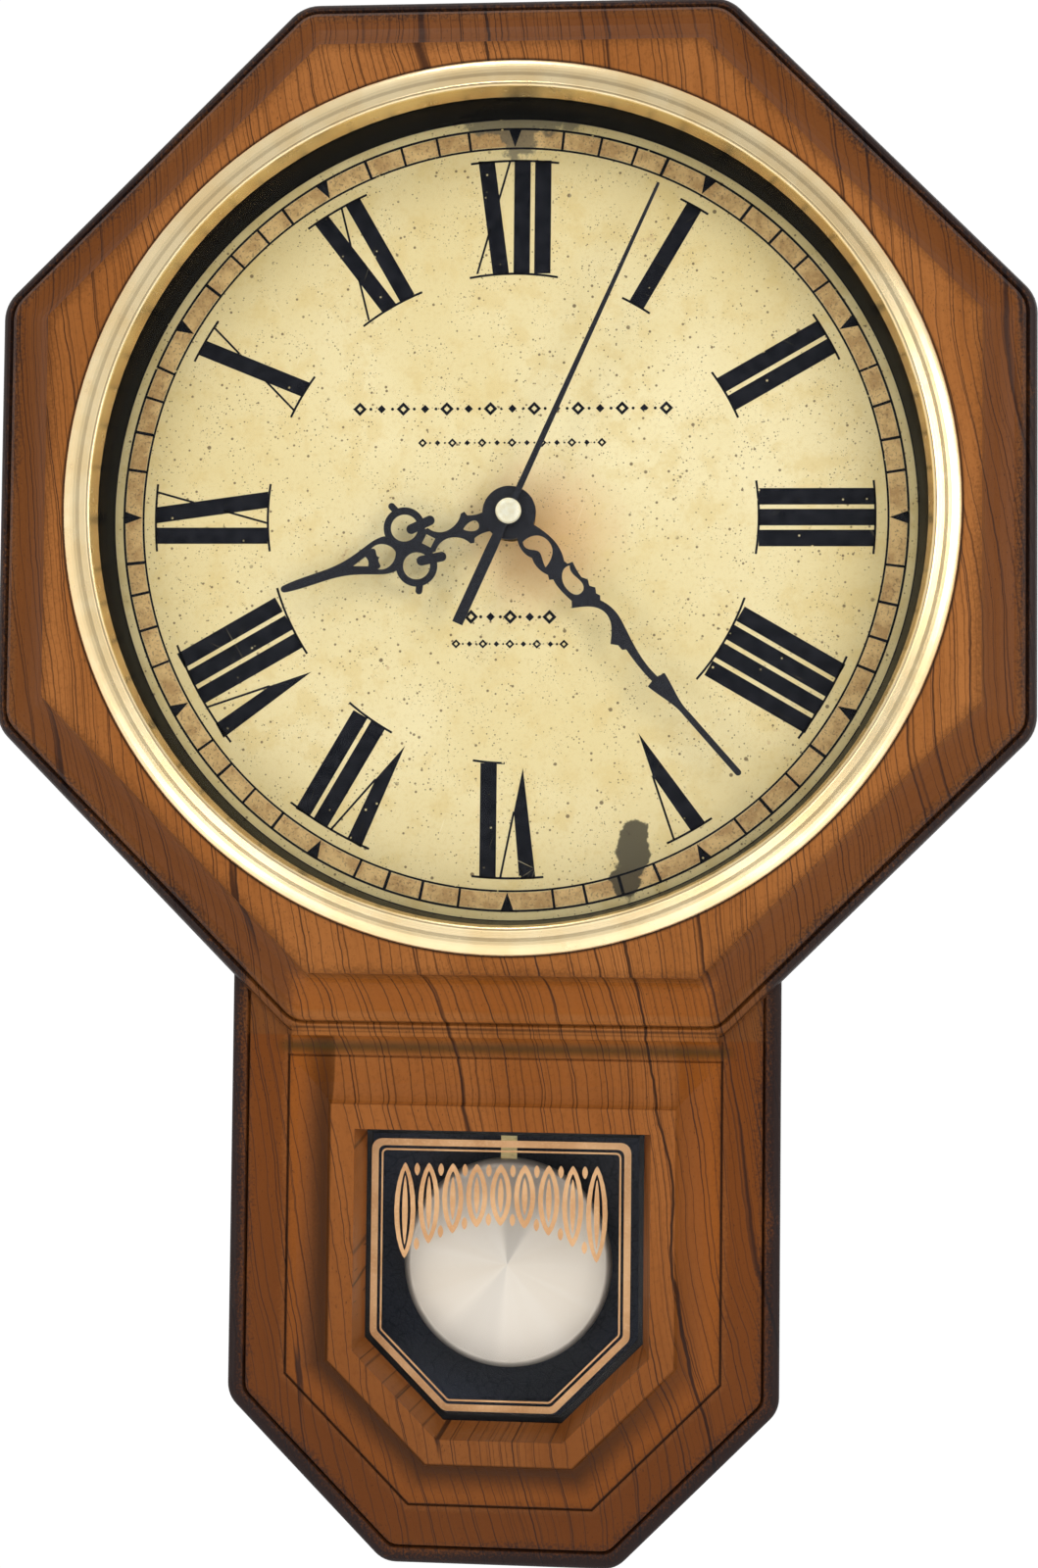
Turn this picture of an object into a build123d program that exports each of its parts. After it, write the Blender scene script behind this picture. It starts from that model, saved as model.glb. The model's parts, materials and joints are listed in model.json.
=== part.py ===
from build123d import *
import os
from math import cos, sin, radians, tan, pi

# Schoolhouse wall clock: an octagonal dial case with a pendulum drop below it.
# Frame: the wall is the plane Y = 0, -Y faces the room, +Z is up, and the dial's axis is X = Z = 0.
# All sizes are in millimetres.

os.makedirs("parts", exist_ok=True)

# ---------------------------------------------------------------- driving dimensions
# Depths are distances in front of the wall. DIAL_FACE is the flat moulding that carries the bezel.
OCTAGON_APOTHEM = 157.5
DIAL_FACE = 66.0
CASE_EDGE = 47.5
OCTAGON_FLAT_INSET = 19.2
OCTAGON_CORNER_R = 12.0
COVE_WIDTH = 13.7
COVE_DEPTH = 12.0

DROP_HALF_WIDTH = 82.7
DROP_SHOULDER_Z = -266.8
DROP_BOTTOM_Z = -314.8
DROP_FOOT_HALF_WIDTH = DROP_HALF_WIDTH - (DROP_SHOULDER_Z - DROP_BOTTOM_Z)
DROP_CORNER_R = 9.0
DROP_ROOT_Z = -120.0
DROP_BAND = 49.0
WINDOW_FRAME = 55.0
WINDOW_INSET = 38.6
WINDOW_BEVEL = 1.9
WINDOW_SEAT = 41.0
WINDOW_TOP_OFFSET = -146.6
SCRIBED_LINE_INSET = 17.2
SCRIBED_LINE_WIDTH = 0.7
FRAME_INSET = 18.0
FRAME_COVE = 13.3
PANE_INSET = 36.8
RETAINER_OUTER_INSET = 29.0
RETAINER_INNER_INSET = 42.0
SHEET_INSET = 24.0

WALL = 3.2
DIAL_OPENING_R = 127.3
BEZEL_OUTER_R = 132.6
BEZEL_LIP_R = 125.0
BEZEL_LIP = 68.3
BEZEL_BORE_R = 123.8
BEZEL_SKIRT_R = 127.0
LENS_R = 129.6
LENS_FRONT = 60.0
LENS_BACK = 58.0

DIAL_R = 128.0
DIAL_FRONT = 43.7
DIAL_BACK = 42.5
DIAL_SCREW_R = 141.0
DIAL_SCREW_ANGLES = [22.5 + 90 * i for i in range(4)]

BACK_PANEL = 2.5
SHEET_FRONT = 3.3
BACK_SCREW_R = 158.5
BACK_SCREW_HEAD_R = 3.2
BACK_SCREW_SHANK_R = 1.3
BACK_SCREW_POINTS = [
    (BACK_SCREW_R * cos(radians(a)), BACK_SCREW_R * sin(radians(a)))
    for a in (-22.5, 22.5, 67.5, 112.5, 157.5, 202.5)
] + [(-73, -225), (73, -225), (-26, -303), (26, -303)]
RETAINER_SCREW_POINTS = [(x, z) for x in (-50.4, 50.4) for z in (-190, -244)]
RETAINER_BACK = 37.6

HANGER_Z = 120.0
KEYHOLE_Z = 115.0
KEYHOLE_R = 4.5
KEYHOLE_SLOT_R = 2.3
KEYHOLE_RISE = 9.0
HANGER_THICKNESS = 1.5
HANGER_SCREW_X = 18.0
HANGER_SCREW_HEAD_R = 2.9
HANGER_SCREW_SHANK_R = 1.4

# Movement box and its levels, as depths.
BOX_HALF_WIDTH = 31.0
BOX_TOP_Z = 27.0
BOX_BOTTOM_Z = -66.0
BOX_WALL = 1.5
BOX_FRONT = 41.5
BOX_SPLIT = 30.0
BOX_BACK = 16.0
BOX_PLATE = 2.0
BUSH_R = 4.0
BUSH_FRONT = 48.0
BEARING_GAP = 0.05
ARBOR_R = 0.5
HOUR_PIPE_R = 2.5
MINUTE_PIPE_R = 1.8
TRAIN_PLATE_FRONT = 31.0
TRAIN_PLATE_BACK = 30.2
BLIND_BEARING = 17.0
BATTERY_Z = -36.0
BATTERY_R = 7.25
BATTERY_DEPTH = 25.0
PIVOT_Z = -49.0
PENDULUM_COIL_Z = -57.0
ARM_FRONT = 26.0
ARM_BACK = 24.4
ROD_BACK = 23.6
ROD_TOP_Z = -67.0
BOB_Z = -230.0
BOB_R = 32.5
BOB_FRONT = 27.6
BOB_BACK = 22.4
BOB_DOME_R = 30.0
BOB_DOME_RISE = 2.0

# Wheel train: module and tooth counts of each meshing pair.
MOTOR_MODULE = 0.3
ROTOR_TEETH = 8
INTERMEDIATE_TEETH = 48
SECOND_MODULE = 0.4
INTERMEDIATE_PINION_TEETH = 8
SECOND_TEETH = 40
THIRD_MODULE = 0.36
SECOND_PINION_TEETH = 8
THIRD_TEETH = 60
CENTRE_MODULE = 0.34
THIRD_PINION_TEETH = 8
CENTRE_TEETH = 64
CANNON_MODULE = 0.4
CANNON_TEETH = 12
MINUTE_TEETH = 36
MINUTE_PINION_TEETH = 10
HOUR_TEETH = 40
SETTING_TEETH = 12


def mesh_distance(module, teeth_a, teeth_b):
    """Distance between the axes of two meshing wheels."""
    return module * (teeth_a + teeth_b) / 2


INTERMEDIATE_X = -mesh_distance(SECOND_MODULE, INTERMEDIATE_PINION_TEETH, SECOND_TEETH)
ROTOR_REACH = mesh_distance(MOTOR_MODULE, ROTOR_TEETH, INTERMEDIATE_TEETH)
ROTOR_BEARING = 135.0
ROTOR_X = INTERMEDIATE_X + ROTOR_REACH * cos(radians(ROTOR_BEARING))
ROTOR_Z = ROTOR_REACH * sin(radians(ROTOR_BEARING))
THIRD_Z = mesh_distance(THIRD_MODULE, SECOND_PINION_TEETH, THIRD_TEETH)
MINUTE_WHEEL_Z = -mesh_distance(CANNON_MODULE, CANNON_TEETH, MINUTE_TEETH)
HOUR_MODULE = -2 * MINUTE_WHEEL_Z / (MINUTE_PINION_TEETH + HOUR_TEETH)
SETTING_BEARING = -50.0
SETTING_X = -MINUTE_WHEEL_Z * cos(radians(SETTING_BEARING))
SETTING_Z = MINUTE_WHEEL_Z - MINUTE_WHEEL_Z * sin(radians(SETTING_BEARING))

# The hands stand at 8:23:04, in degrees clockwise from twelve.
HOUR_HAND_LENGTH = 73.3
MINUTE_HAND_LENGTH = 105.0
HOUR_ANGLE = 251.5
MINUTE_ANGLE = 138.4
SECOND_ANGLE = 24.0


# ---------------------------------------------------------------- helpers
def front_plane(depth):
    """Drawing plane at a depth in front of the wall: local x is +X and local y is +Z."""
    return Plane(origin=(0, -depth, 0), x_dir=(1, 0, 0), z_dir=(0, -1, 0))


def slab(outline, back, front):
    """Extrude a flat outline from one depth to another."""
    return extrude(front_plane(back) * outline, amount=front - back)


def disc(radius, back, front, x=0.0, z=0.0):
    """Round plate or shaft along the dial's axis direction."""
    return slab(Pos(x, z) * Circle(radius), back, front)


def ring(outer, inner, back, front, x=0.0, z=0.0):
    """Round plate with a round hole."""
    return disc(outer, back, front, x, z) - disc(inner, back - 1, front + 1, x, z)


def block(x0, x1, z0, z1, back, front):
    """Rectangular block between two X, two Z and two depths."""
    return Pos((x0 + x1) / 2, -(back + front) / 2, (z0 + z1) / 2) * Box(x1 - x0, front - back, z1 - z0)


def turned(*profile):
    """Revolve a closed profile of (radius, depth) points about the dial's axis."""
    face = make_face(Polyline(*[(r, -depth) for r, depth in profile], close=True))
    return revolve(face, Axis.Y, 360)


def tapered_stack(outline, profile):
    """Solid through a stack of outlines: profile is (inset, depth) from back to front."""
    sections = [front_plane(depth) * outline(inset) for inset, depth in profile]
    return loft(sections, ruled=True)


def quarter_arc(centre, half_sizes, start, end, steps):
    """Points on an ellipse, from one angle to another in degrees."""
    angles = [radians(start + (end - start) * i / steps) for i in range(steps + 1)]
    return [(centre[0] + half_sizes[0] * cos(a), centre[1] + half_sizes[1] * sin(a)) for a in angles]


def octagon(apothem, corner=0.0):
    """Octagon with a flat side at the top."""
    radius = apothem / cos(pi / 8)
    points = [(radius * cos(pi / 8 + k * pi / 4), radius * sin(pi / 8 + k * pi / 4)) for k in range(8)]
    shape = make_face(Polyline(*points, close=True))
    return fillet(shape.vertices(), corner) if corner else shape


def octagon_moulding(inset):
    """Octagonal outline of the case at an inset, with corners that sharpen inwards."""
    return octagon(OCTAGON_APOTHEM - inset, max(OCTAGON_CORNER_R - 0.6 * inset, 0.5))


def drop_shape(inset, top, corner=0.0):
    """Drop outline at an inset: a rectangle with two 45 degree lower corners."""
    slide = inset * tan(pi / 8)
    half = DROP_HALF_WIDTH - inset
    foot = DROP_FOOT_HALF_WIDTH - slide
    shoulder = DROP_SHOULDER_Z + slide
    bottom = DROP_BOTTOM_Z + inset
    points = [(-half, top), (half, top), (half, shoulder)]
    points += [(foot, bottom), (-foot, bottom), (-half, shoulder)]
    shape = make_face(Polyline(*points, close=True))
    return fillet(shape.vertices().sort_by(Axis.Y)[:4], corner) if corner else shape


def drop_moulding(inset):
    """Drop outline whose top runs up inside the octagon."""
    return drop_shape(inset, DROP_ROOT_Z, max(DROP_CORNER_R - 0.6 * inset, 0.5))


def window_shape(inset):
    """Outline of the window frame and of everything that follows the window."""
    return drop_shape(inset, WINDOW_TOP_OFFSET - inset, 0.5)


def gear(teeth, module, phase=0.0):
    """Spur wheel outline with a tooth centred on the phase angle, in degrees."""
    pitch_r = teeth * module / 2
    tip_r = pitch_r + 0.75 * module
    root_r = pitch_r - 1.05 * module
    pitch_angle = 2 * pi / teeth
    rising = [(root_r, -0.29), (pitch_r, -0.21), (tip_r, -0.11)]
    falling = [(tip_r, 0.11), (pitch_r, 0.21), (root_r, 0.29)]
    points = []
    for k in range(teeth):
        middle = radians(phase) + k * pitch_angle
        for radius, share in rising + falling:
            angle = middle + share * pitch_angle
            points.append((radius * cos(angle), radius * sin(angle)))
    return make_face(Polyline(*points, close=True))


def meshed_gear(teeth, module, bearing):
    """Wheel with a gap centred on the bearing towards its partner, in degrees."""
    return gear(teeth, module, bearing + 180 / teeth)


def pan_screw(x, z, seat, head_r, shank_r, length):
    """Screw driven from behind: its head lies behind the seat and its shank runs forwards."""
    head_height = 0.62 * head_r
    screw = disc(head_r, seat - head_height, seat, x, z) + disc(shank_r, seat, seat + length, x, z)
    slot_floor = seat - 0.55 * head_height
    slot = block(x - head_r, x + head_r, z - 0.35, z + 0.35, seat - head_height - 1, slot_floor)
    return screw - slot


def flush_screw(x, z, head_r, shank_r, length):
    """Countersunk screw with its head flush with the wall plane and a cross recess."""
    head_height = head_r - shank_r
    profile = [(0, 0), (head_r, 0), (shank_r, head_height), (shank_r, length), (0, length)]
    recess = Box(2.6, 1.6, 0.6) + Box(0.6, 1.6, 2.6)
    return Pos(x, 0, z) * (turned(*profile) - recess)


def flush_seat(x, z, head_r, shank_r, length):
    """Countersunk hole that takes a flush screw."""
    head_height = head_r - shank_r
    profile = [(0, -1), (head_r, -1), (head_r, 0), (shank_r, head_height), (shank_r, length), (0, length)]
    return Pos(x, 0, z) * turned(*profile)


def curved_outline(*runs):
    """Face bounded by runs of points: two points make a line, more make a smooth curve.

    Points are (along, across) of a hand that points to twelve, and across is positive to the left.
    """
    edges = []
    for run in runs:
        points = [(-across, along) for along, across in run]
        edges.append(Line(*points) if len(points) == 2 else Spline(*points))
    return make_face(Curve() + edges)


def polygon(*points):
    """Straight-sided face from (along, across) points of a hand."""
    return make_face(Polyline(*[(-across, along) for along, across in points], close=True))


def dot(along, across, radius):
    """Round patch on a hand."""
    return Pos(-across, along) * Circle(radius)


def bar(start, end, radius):
    """Round-ended bar on a hand."""
    length = ((end[0] - start[0]) ** 2 + (end[1] - start[1]) ** 2) ** 0.5
    normal = ((end[1] - start[1]) / length * radius, -(end[0] - start[0]) / length * radius)
    corners = [
        (start[0] + normal[0], start[1] + normal[1]),
        (end[0] + normal[0], end[1] + normal[1]),
        (end[0] - normal[0], end[1] - normal[1]),
        (start[0] - normal[0], start[1] - normal[1]),
    ]
    return polygon(*corners) + dot(*start, radius) + dot(*end, radius)


def both_sides(*faces):
    """The given faces and their mirror images across a hand's centre line."""
    joined = Sketch() + list(faces)
    return joined + mirror(joined, Plane.YZ)


def save(name, *solids):
    """Write one named piece, or a group of identical pieces."""
    shape = solids[0] if len(solids) == 1 else Compound(children=list(solids))
    shape.label = name
    export_step(shape, f"parts/{name}.step")


# ---------------------------------------------------------------- case
def make_case_front():
    """Moulded front: octagon and drop mouldings, hollow behind, with the window tube and screw bosses."""
    cove_foot = OCTAGON_FLAT_INSET - COVE_WIDTH
    bead = quarter_arc((3.0, DIAL_FACE - 18.5), (-3.0, 4.5), 0, 90, 5)
    groove = [(3.7, DIAL_FACE - 14.9), (4.4, DIAL_FACE - 13.0)]
    cove = quarter_arc((cove_foot, DIAL_FACE), (COVE_WIDTH, -COVE_DEPTH), 90, 0, 9)
    body = tapered_stack(octagon_moulding, [(0, 0)] + bead + groove + cove)

    drop_bead = quarter_arc((2.2, CASE_EDGE), (-2.2, DROP_BAND + 0.2 - CASE_EDGE), 0, 90, 4)
    drop_groove = [(4.6, DROP_BAND + 0.2), (5.1, DROP_BAND - 1.0), (5.6, DROP_BAND)]
    body += tapered_stack(drop_moulding, [(0, 0)] + drop_bead + drop_groove)
    frame_cove = quarter_arc((FRAME_INSET, WINDOW_FRAME), (FRAME_COVE, DROP_BAND - WINDOW_FRAME), 90, 0, 8)
    body += tapered_stack(window_shape, [(FRAME_INSET, DROP_BAND - 5)] + frame_cove)
    scribed_line = window_shape(SCRIBED_LINE_INSET) - window_shape(SCRIBED_LINE_INSET + SCRIBED_LINE_WIDTH)
    body -= slab(scribed_line, DROP_BAND - 0.7, DROP_BAND + 1)
    junction_r = 4.4
    junction_z = -OCTAGON_APOTHEM - junction_r
    junction = block(-64, 64, junction_z, 3.0 - OCTAGON_APOTHEM, DROP_BAND - 1, DIAL_FACE - 14.1)
    hollowing = Pos(0, -DROP_BAND - junction_r, junction_z) * Rot(0, 90, 0) * Cylinder(junction_r, 200)
    body += junction - hollowing

    hollow = slab(octagon(OCTAGON_APOTHEM - WALL), -1, CASE_EDGE - 2)
    hollow += slab(octagon(146), -1, 52)
    hollow += slab(octagon(135), -1, DIAL_FACE - WALL)
    hollow += slab(drop_shape(WALL, DROP_ROOT_Z), -1, DROP_BAND - 3.5)
    hollow += slab(window_shape(30.5), -1, WINDOW_FRAME - 4.5)
    hollow -= slab(window_shape(WINDOW_INSET - 2.5), WINDOW_SEAT, DIAL_FACE)
    body -= hollow
    body -= disc(DIAL_OPENING_R, 50, 80)

    slope = WINDOW_BEVEL / (WINDOW_FRAME - WINDOW_SEAT)
    body -= tapered_stack(
        window_shape,
        [
            (WINDOW_INSET + WINDOW_BEVEL + slope, WINDOW_SEAT - 1),
            (WINDOW_INSET - slope, WINDOW_FRAME + 1),
        ],
    )

    for x, z in BACK_SCREW_POINTS:
        body += disc(4.5, BACK_PANEL, CASE_EDGE - 1, x, z)
        body -= disc(BACK_SCREW_SHANK_R, 0, 16, x, z)
    for angle in DIAL_SCREW_ANGLES:
        x = DIAL_SCREW_R * cos(radians(angle))
        z = DIAL_SCREW_R * sin(radians(angle))
        body += disc(4.0, DIAL_FRONT, DIAL_FACE - 2, x, z)
        body -= disc(1.3, DIAL_FRONT - 1, DIAL_FRONT + 11, x, z)
    for x, z in RETAINER_SCREW_POINTS:
        body += disc(2.6, 39.0, WINDOW_FRAME - 3, x, z)
        body -= disc(1.0, 38.0, 47.0, x, z)
    return body


def make_back_panel():
    """Removable back with the movement opening, the hanger pocket and countersunk screw holes."""
    outline = octagon(OCTAGON_APOTHEM - WALL - 0.2) + drop_shape(WALL + 0.2, DROP_ROOT_Z)
    panel = slab(outline, 0, BACK_PANEL)
    for x in (-HANGER_SCREW_X, HANGER_SCREW_X):
        panel += disc(5.0, BACK_PANEL, 8.0, x, HANGER_Z)
    panel -= block(-33, 33, -68, 29, -1, 4)
    panel -= block(-25.2, 25.2, HANGER_Z - 12.2, HANGER_Z + 12.2, -1, HANGER_THICKNESS)
    panel -= block(-7, 7, HANGER_Z - 11, HANGER_Z + 11, -1, 4)
    for x in (-HANGER_SCREW_X, HANGER_SCREW_X):
        panel -= disc(HANGER_SCREW_SHANK_R, -1, 7.2, x, HANGER_Z)
    for x, z in BACK_SCREW_POINTS:
        panel -= flush_seat(x, z, BACK_SCREW_HEAD_R, 1.6, BACK_PANEL + 1)
    for z in (52, 60, 68):
        panel -= slab(Pos(0, z) * SlotOverall(40, 3), -1, 4)
    return panel


def make_hanger_plate():
    """Steel plate with a keyhole: the wall screw enters the round end and the clock drops onto the slot."""
    plate = slab(fillet((Pos(0, HANGER_Z) * Rectangle(50, 24)).vertices(), 3), 0, HANGER_THICKNESS)
    plate -= disc(KEYHOLE_R, -1, 3, 0, KEYHOLE_Z)
    plate -= disc(KEYHOLE_SLOT_R, -1, 3, 0, KEYHOLE_Z + KEYHOLE_RISE)
    plate -= block(-KEYHOLE_SLOT_R, KEYHOLE_SLOT_R, KEYHOLE_Z, KEYHOLE_Z + KEYHOLE_RISE, -1, 3)
    for x in (-HANGER_SCREW_X, HANGER_SCREW_X):
        plate -= flush_seat(x, HANGER_Z, HANGER_SCREW_HEAD_R, HANGER_SCREW_SHANK_R, HANGER_THICKNESS + 1)
    return plate


# ---------------------------------------------------------------- dial end
def make_bezel():
    """Pressed ring with a rolled lip, a skirt through the dial opening and tabs bent over behind it."""
    face = quarter_arc((BEZEL_LIP_R + 1.2, DIAL_FACE), (BEZEL_OUTER_R - BEZEL_LIP_R - 1.2, 1.9), 0, 80, 8)
    lip = quarter_arc((BEZEL_LIP_R, BEZEL_LIP - 0.9), (0.9, 0.9), 60, 180, 6)
    inner = [(BEZEL_BORE_R, LENS_FRONT), (BEZEL_SKIRT_R, LENS_FRONT), (BEZEL_SKIRT_R, DIAL_FACE)]
    bezel = turned(*(face + lip + inner))
    tab_back = DIAL_FACE - WALL - 0.6
    tab = ring(131.5, 126.2, tab_back, DIAL_FACE - WALL)
    for k in range(8):
        wedge = polygon((0, 0), (140, 7), (140, -7))
        bezel += tab & slab(Rot(0, 0, 45 * k + 22.5) * wedge, 50, 70)
    return bezel


def make_spacer_ring():
    """Black ring that holds the lens against the bezel and frames the dial."""
    return turned(
        (124.2, LENS_BACK),
        (LENS_R, LENS_BACK),
        (LENS_R, LENS_BACK - 1.4),
        (126.0, LENS_BACK - 1.4),
        (126.0, DIAL_FRONT),
        (123.2, DIAL_FRONT),
        (123.2, DIAL_FRONT + 0.8),
    )


def make_dial_plate():
    """Dial disc with a centre hole and four lugs."""
    outline = Sketch() + Circle(DIAL_R)
    for angle in DIAL_SCREW_ANGLES:
        outline += Rot(0, 0, angle) * Pos(DIAL_SCREW_R - 8, 0) * SlotOverall(26, 10)
    dial = slab(outline, DIAL_BACK, DIAL_FRONT) - disc(BUSH_R + 0.1, 40, 50)
    for angle in DIAL_SCREW_ANGLES:
        dial -= disc(1.5, 40, 50, DIAL_SCREW_R * cos(radians(angle)), DIAL_SCREW_R * sin(radians(angle)))
    return dial


def make_hex_nut():
    """Thin nut on the movement's bush."""
    hexagon = RegularPolygon(6.4, 6) - Circle(BUSH_R + BEARING_GAP)
    return slab(hexagon, DIAL_FRONT + 0.5, DIAL_FRONT + 2.5)


# ---------------------------------------------------------------- hands
def make_hour_hand():
    """Serpentine hour hand: leaf, two pierced rings with curls, and a pierced spade that ends in a rod."""
    outline = both_sides(
        curved_outline(
            [(0, 0), (0, 3.0)],
            [(0, 3.0), (7.0, 3.0)],
            [(7.0, 3.0), (9.5, 2.9), (11.9, 3.5)],
            [(11.9, 3.5), (12.4, 4.8)],
            [(12.4, 4.8), (13.6, 4.6)],
            [(13.6, 4.6), (15.2, 2.6), (17.8, 1.3), (20.4, 1.15), (22.3, 1.9), (24.0, 3.6)],
            [(24.0, 3.6), (34.0, 3.6)],
            [(34.0, 3.6), (36.9, 5.4)],
            [(36.9, 5.4), (40.0, 5.25), (43.2, 4.3), (47.5, 2.9), (53.0, 1.75), (58.9, 1.45), (69.8, 1.0)],
            [(69.8, 1.0), (69.8, 0)],
            [(69.8, 0), (0, 0)],
        ),
        dot(30.6, 5.85, 6.1),
        bar((31.2, 11.0), (32.2, 13.1), 1.0),
    )
    outline += dot(0, 0, 7.6) + dot(69.8, 0, 1.0)
    outline -= both_sides(dot(30.6, 5.85, 4.0))
    outline += both_sides(bar((28.8, 4.9), (22.8, 5.6), 1.4))
    outline -= polygon((22.9, 0), (25.0, 2.1), (27.1, 0), (25.0, -2.1))
    outline -= curved_outline(
        [(9.5, 0), (10.3, 1.4), (11.8, 1.45), (14.3, 0)],
        [(14.3, 0), (11.8, -1.45), (10.3, -1.4), (9.5, 0)],
    )
    outline -= both_sides(
        curved_outline(
            [(35.2, 0), (36.0, 1.8), (38.6, 3.6), (41.9, 3.1)],
            [(41.9, 3.1), (40.7, 2.3), (40.8, 1.3), (40.2, 0)],
            [(40.2, 0), (35.2, 0)],
        )
    )
    outline -= curved_outline(
        [(44.2, 1.5), (43.7, 0), (44.2, -1.5)],
        [(44.2, -1.5), (46.2, -0.8), (48.5, 0)],
        [(48.5, 0), (46.2, 0.8), (44.2, 1.5)],
    )
    drawn_length = 70.8
    outline = scale(outline, HOUR_HAND_LENGTH / drawn_length) - dot(0, 0, HOUR_PIPE_R)
    return slab(Rot(0, 0, -HOUR_ANGLE) * outline, 49.8, 50.4)


def make_minute_hand():
    """Serpentine minute hand: two pierced leaves, an S curve with barbs, and a long rod from a block."""
    left = [
        [(0, 3.0), (7.0, 3.0)],
        [(7.0, 3.0), (11.9, 4.2), (16.1, 4.6), (19.7, 4.0), (22.4, 2.8)],
        [(22.4, 2.8), (23.7, 3.0)],
        [(23.7, 3.0), (24.3, 4.6)],
        [(24.3, 4.6), (27.0, 3.9), (29.6, 3.5)],
        [(29.6, 3.5), (31.4, 4.5)],
        [(31.4, 4.5), (33.2, 3.6)],
        [(33.2, 3.6), (34.8, 4.6)],
        [(34.8, 4.6), (36.3, 3.6)],
        [(36.3, 3.6), (37.6, 4.1)],
        [(37.6, 4.1), (38.7, 3.2)],
        [(38.7, 3.2), (41.6, 4.1), (45.5, 4.3), (49.4, 3.5), (54.0, 2.3), (59.3, 1.2), (67.7, 0.9)],
        [(67.7, 0.9), (68.2, 3.2)],
        [(68.2, 3.2), (71.5, 2.6), (76.0, 1.5), (82.0, 0.95)],
        [(82.0, 0.95), (105.5, 0.95)],
    ]
    right = [
        [(105.5, 0.95), (105.5, -0.95)],
        [(105.5, -0.95), (82.0, -0.95)],
        [(82.0, -0.95), (76.0, -1.5), (71.5, -2.6), (68.0, -3.3)],
        [(68.0, -3.3), (67.6, -1.3)],
        [(67.6, -1.3), (63.3, -1.4), (59.0, -1.2), (55.2, -0.8)],
        [(55.2, -0.8), (54.5, -1.8)],
        [(54.5, -1.8), (52.6, -1.8)],
        [(52.6, -1.8), (50.8, -3.3)],
        [(50.8, -3.3), (48.3, -0.7), (46.0, 1.0), (42.7, 1.8), (39.9, 1.0), (37.3, -1.3), (34.8, -4.9)],
        [(34.8, -4.9), (33.1, -3.5)],
        [(33.1, -3.5), (29.9, -3.8), (26.7, -3.8), (24.4, -3.4)],
        [(24.4, -3.4), (23.7, -4.4)],
        [(23.7, -4.4), (22.3, -3.7)],
        [(22.3, -3.7), (19.7, -4.5), (16.6, -4.4), (15.2, -3.9)],
        [(15.2, -3.9), (12.2, -4.7), (9.2, -4.2), (7.0, -3.0)],
        [(7.0, -3.0), (0, -3.0)],
        [(0, -3.0), (0, 3.0)],
    ]
    outline = curved_outline(*left, *right) + dot(0, 0, 8.2) + dot(105.5, 0, 0.95)
    outline -= curved_outline(
        [(9.6, -2.8), (9.8, -0.4), (11.3, 2.1), (14.4, 3.2), (17.4, 2.4), (19.5, -0.4), (20.1, -2.7)],
        [(20.1, -2.7), (17.4, -1.7), (15.1, -1.1), (12.8, -2.7), (9.6, -2.8)],
    )
    outline -= curved_outline(
        [(24.5, 3.2), (28.3, 2.3), (31.0, 2.5), (33.0, 1.3)],
        [(33.0, 1.3), (32.6, -1.2), (29.5, -2.2), (26.2, -1.3), (24.3, 0.8), (24.5, 3.2)],
    )
    drawn_length = 106.45
    outline = scale(outline, MINUTE_HAND_LENGTH / drawn_length) - dot(0, 0, MINUTE_PIPE_R)
    return slab(Rot(0, 0, -MINUTE_ANGLE) * outline, 52.2, 52.7)


def make_second_hand():
    """Straight second hand with a square-ended counterweight tail."""
    needle = polygon((0, 1.0), (108, 0.45), (108, -0.45), (0, -1.0)) + dot(108, 0, 0.45)
    tail = polygon((0, 1.2), (-12, 1.65), (-37, 1.65), (-37, -1.65), (-12, -1.65), (0, -1.2))
    outline = needle + tail + dot(0, 0, 2.8)
    hand = slab(Rot(0, 0, -SECOND_ANGLE) * outline, 54.9, 55.3) + disc(1.2, 53.8, 55.0)
    return hand - disc(ARBOR_R, 50, 60)


def make_hand_cap():
    """Domed brass cap over the middle of the second hand."""
    return turned((0, 55.3), (3.85, 55.3), (3.85, 56.0), (3.5, 56.45), (2.4, 56.7), (0, 56.8))


# ---------------------------------------------------------------- movement
def box_outline(inset):
    """Rounded outline of the movement box at an inset."""
    middle = (BOX_TOP_Z + BOX_BOTTOM_Z) / 2
    sheet = Rectangle(2 * (BOX_HALF_WIDTH - inset), BOX_TOP_Z - BOX_BOTTOM_Z - 2 * inset)
    return Pos(0, middle) * fillet(sheet.vertices(), 3.0 - inset)


def make_front_shell():
    """Front half of the movement box, with the bush, wheel bearings and pillars."""
    shell = slab(box_outline(0), BOX_SPLIT, BOX_FRONT)
    shell -= slab(box_outline(BOX_WALL), BOX_SPLIT - 10, BOX_FRONT - BOX_PLATE)
    inside = BOX_FRONT - BOX_PLATE
    shell += disc(BUSH_R, BOX_FRONT - 1, BUSH_FRONT)
    shell -= disc(HOUR_PIPE_R + BEARING_GAP, 30, 60)
    shell += disc(1.6, 36.5, inside + 0.5, 0, THIRD_Z)
    shell -= disc(ARBOR_R + BEARING_GAP, 36, 39.0, 0, THIRD_Z)
    shell += disc(0.9, 35.0, inside + 0.5, 0, MINUTE_WHEEL_Z)
    shell += disc(3.0, 37.0, inside + 0.5, 0, PENDULUM_COIL_Z)
    for x in (-26, 26):
        for z in (-22, 21):
            shell += disc(2.0, TRAIN_PLATE_FRONT, inside + 0.5, x, z)
    return shell


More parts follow.
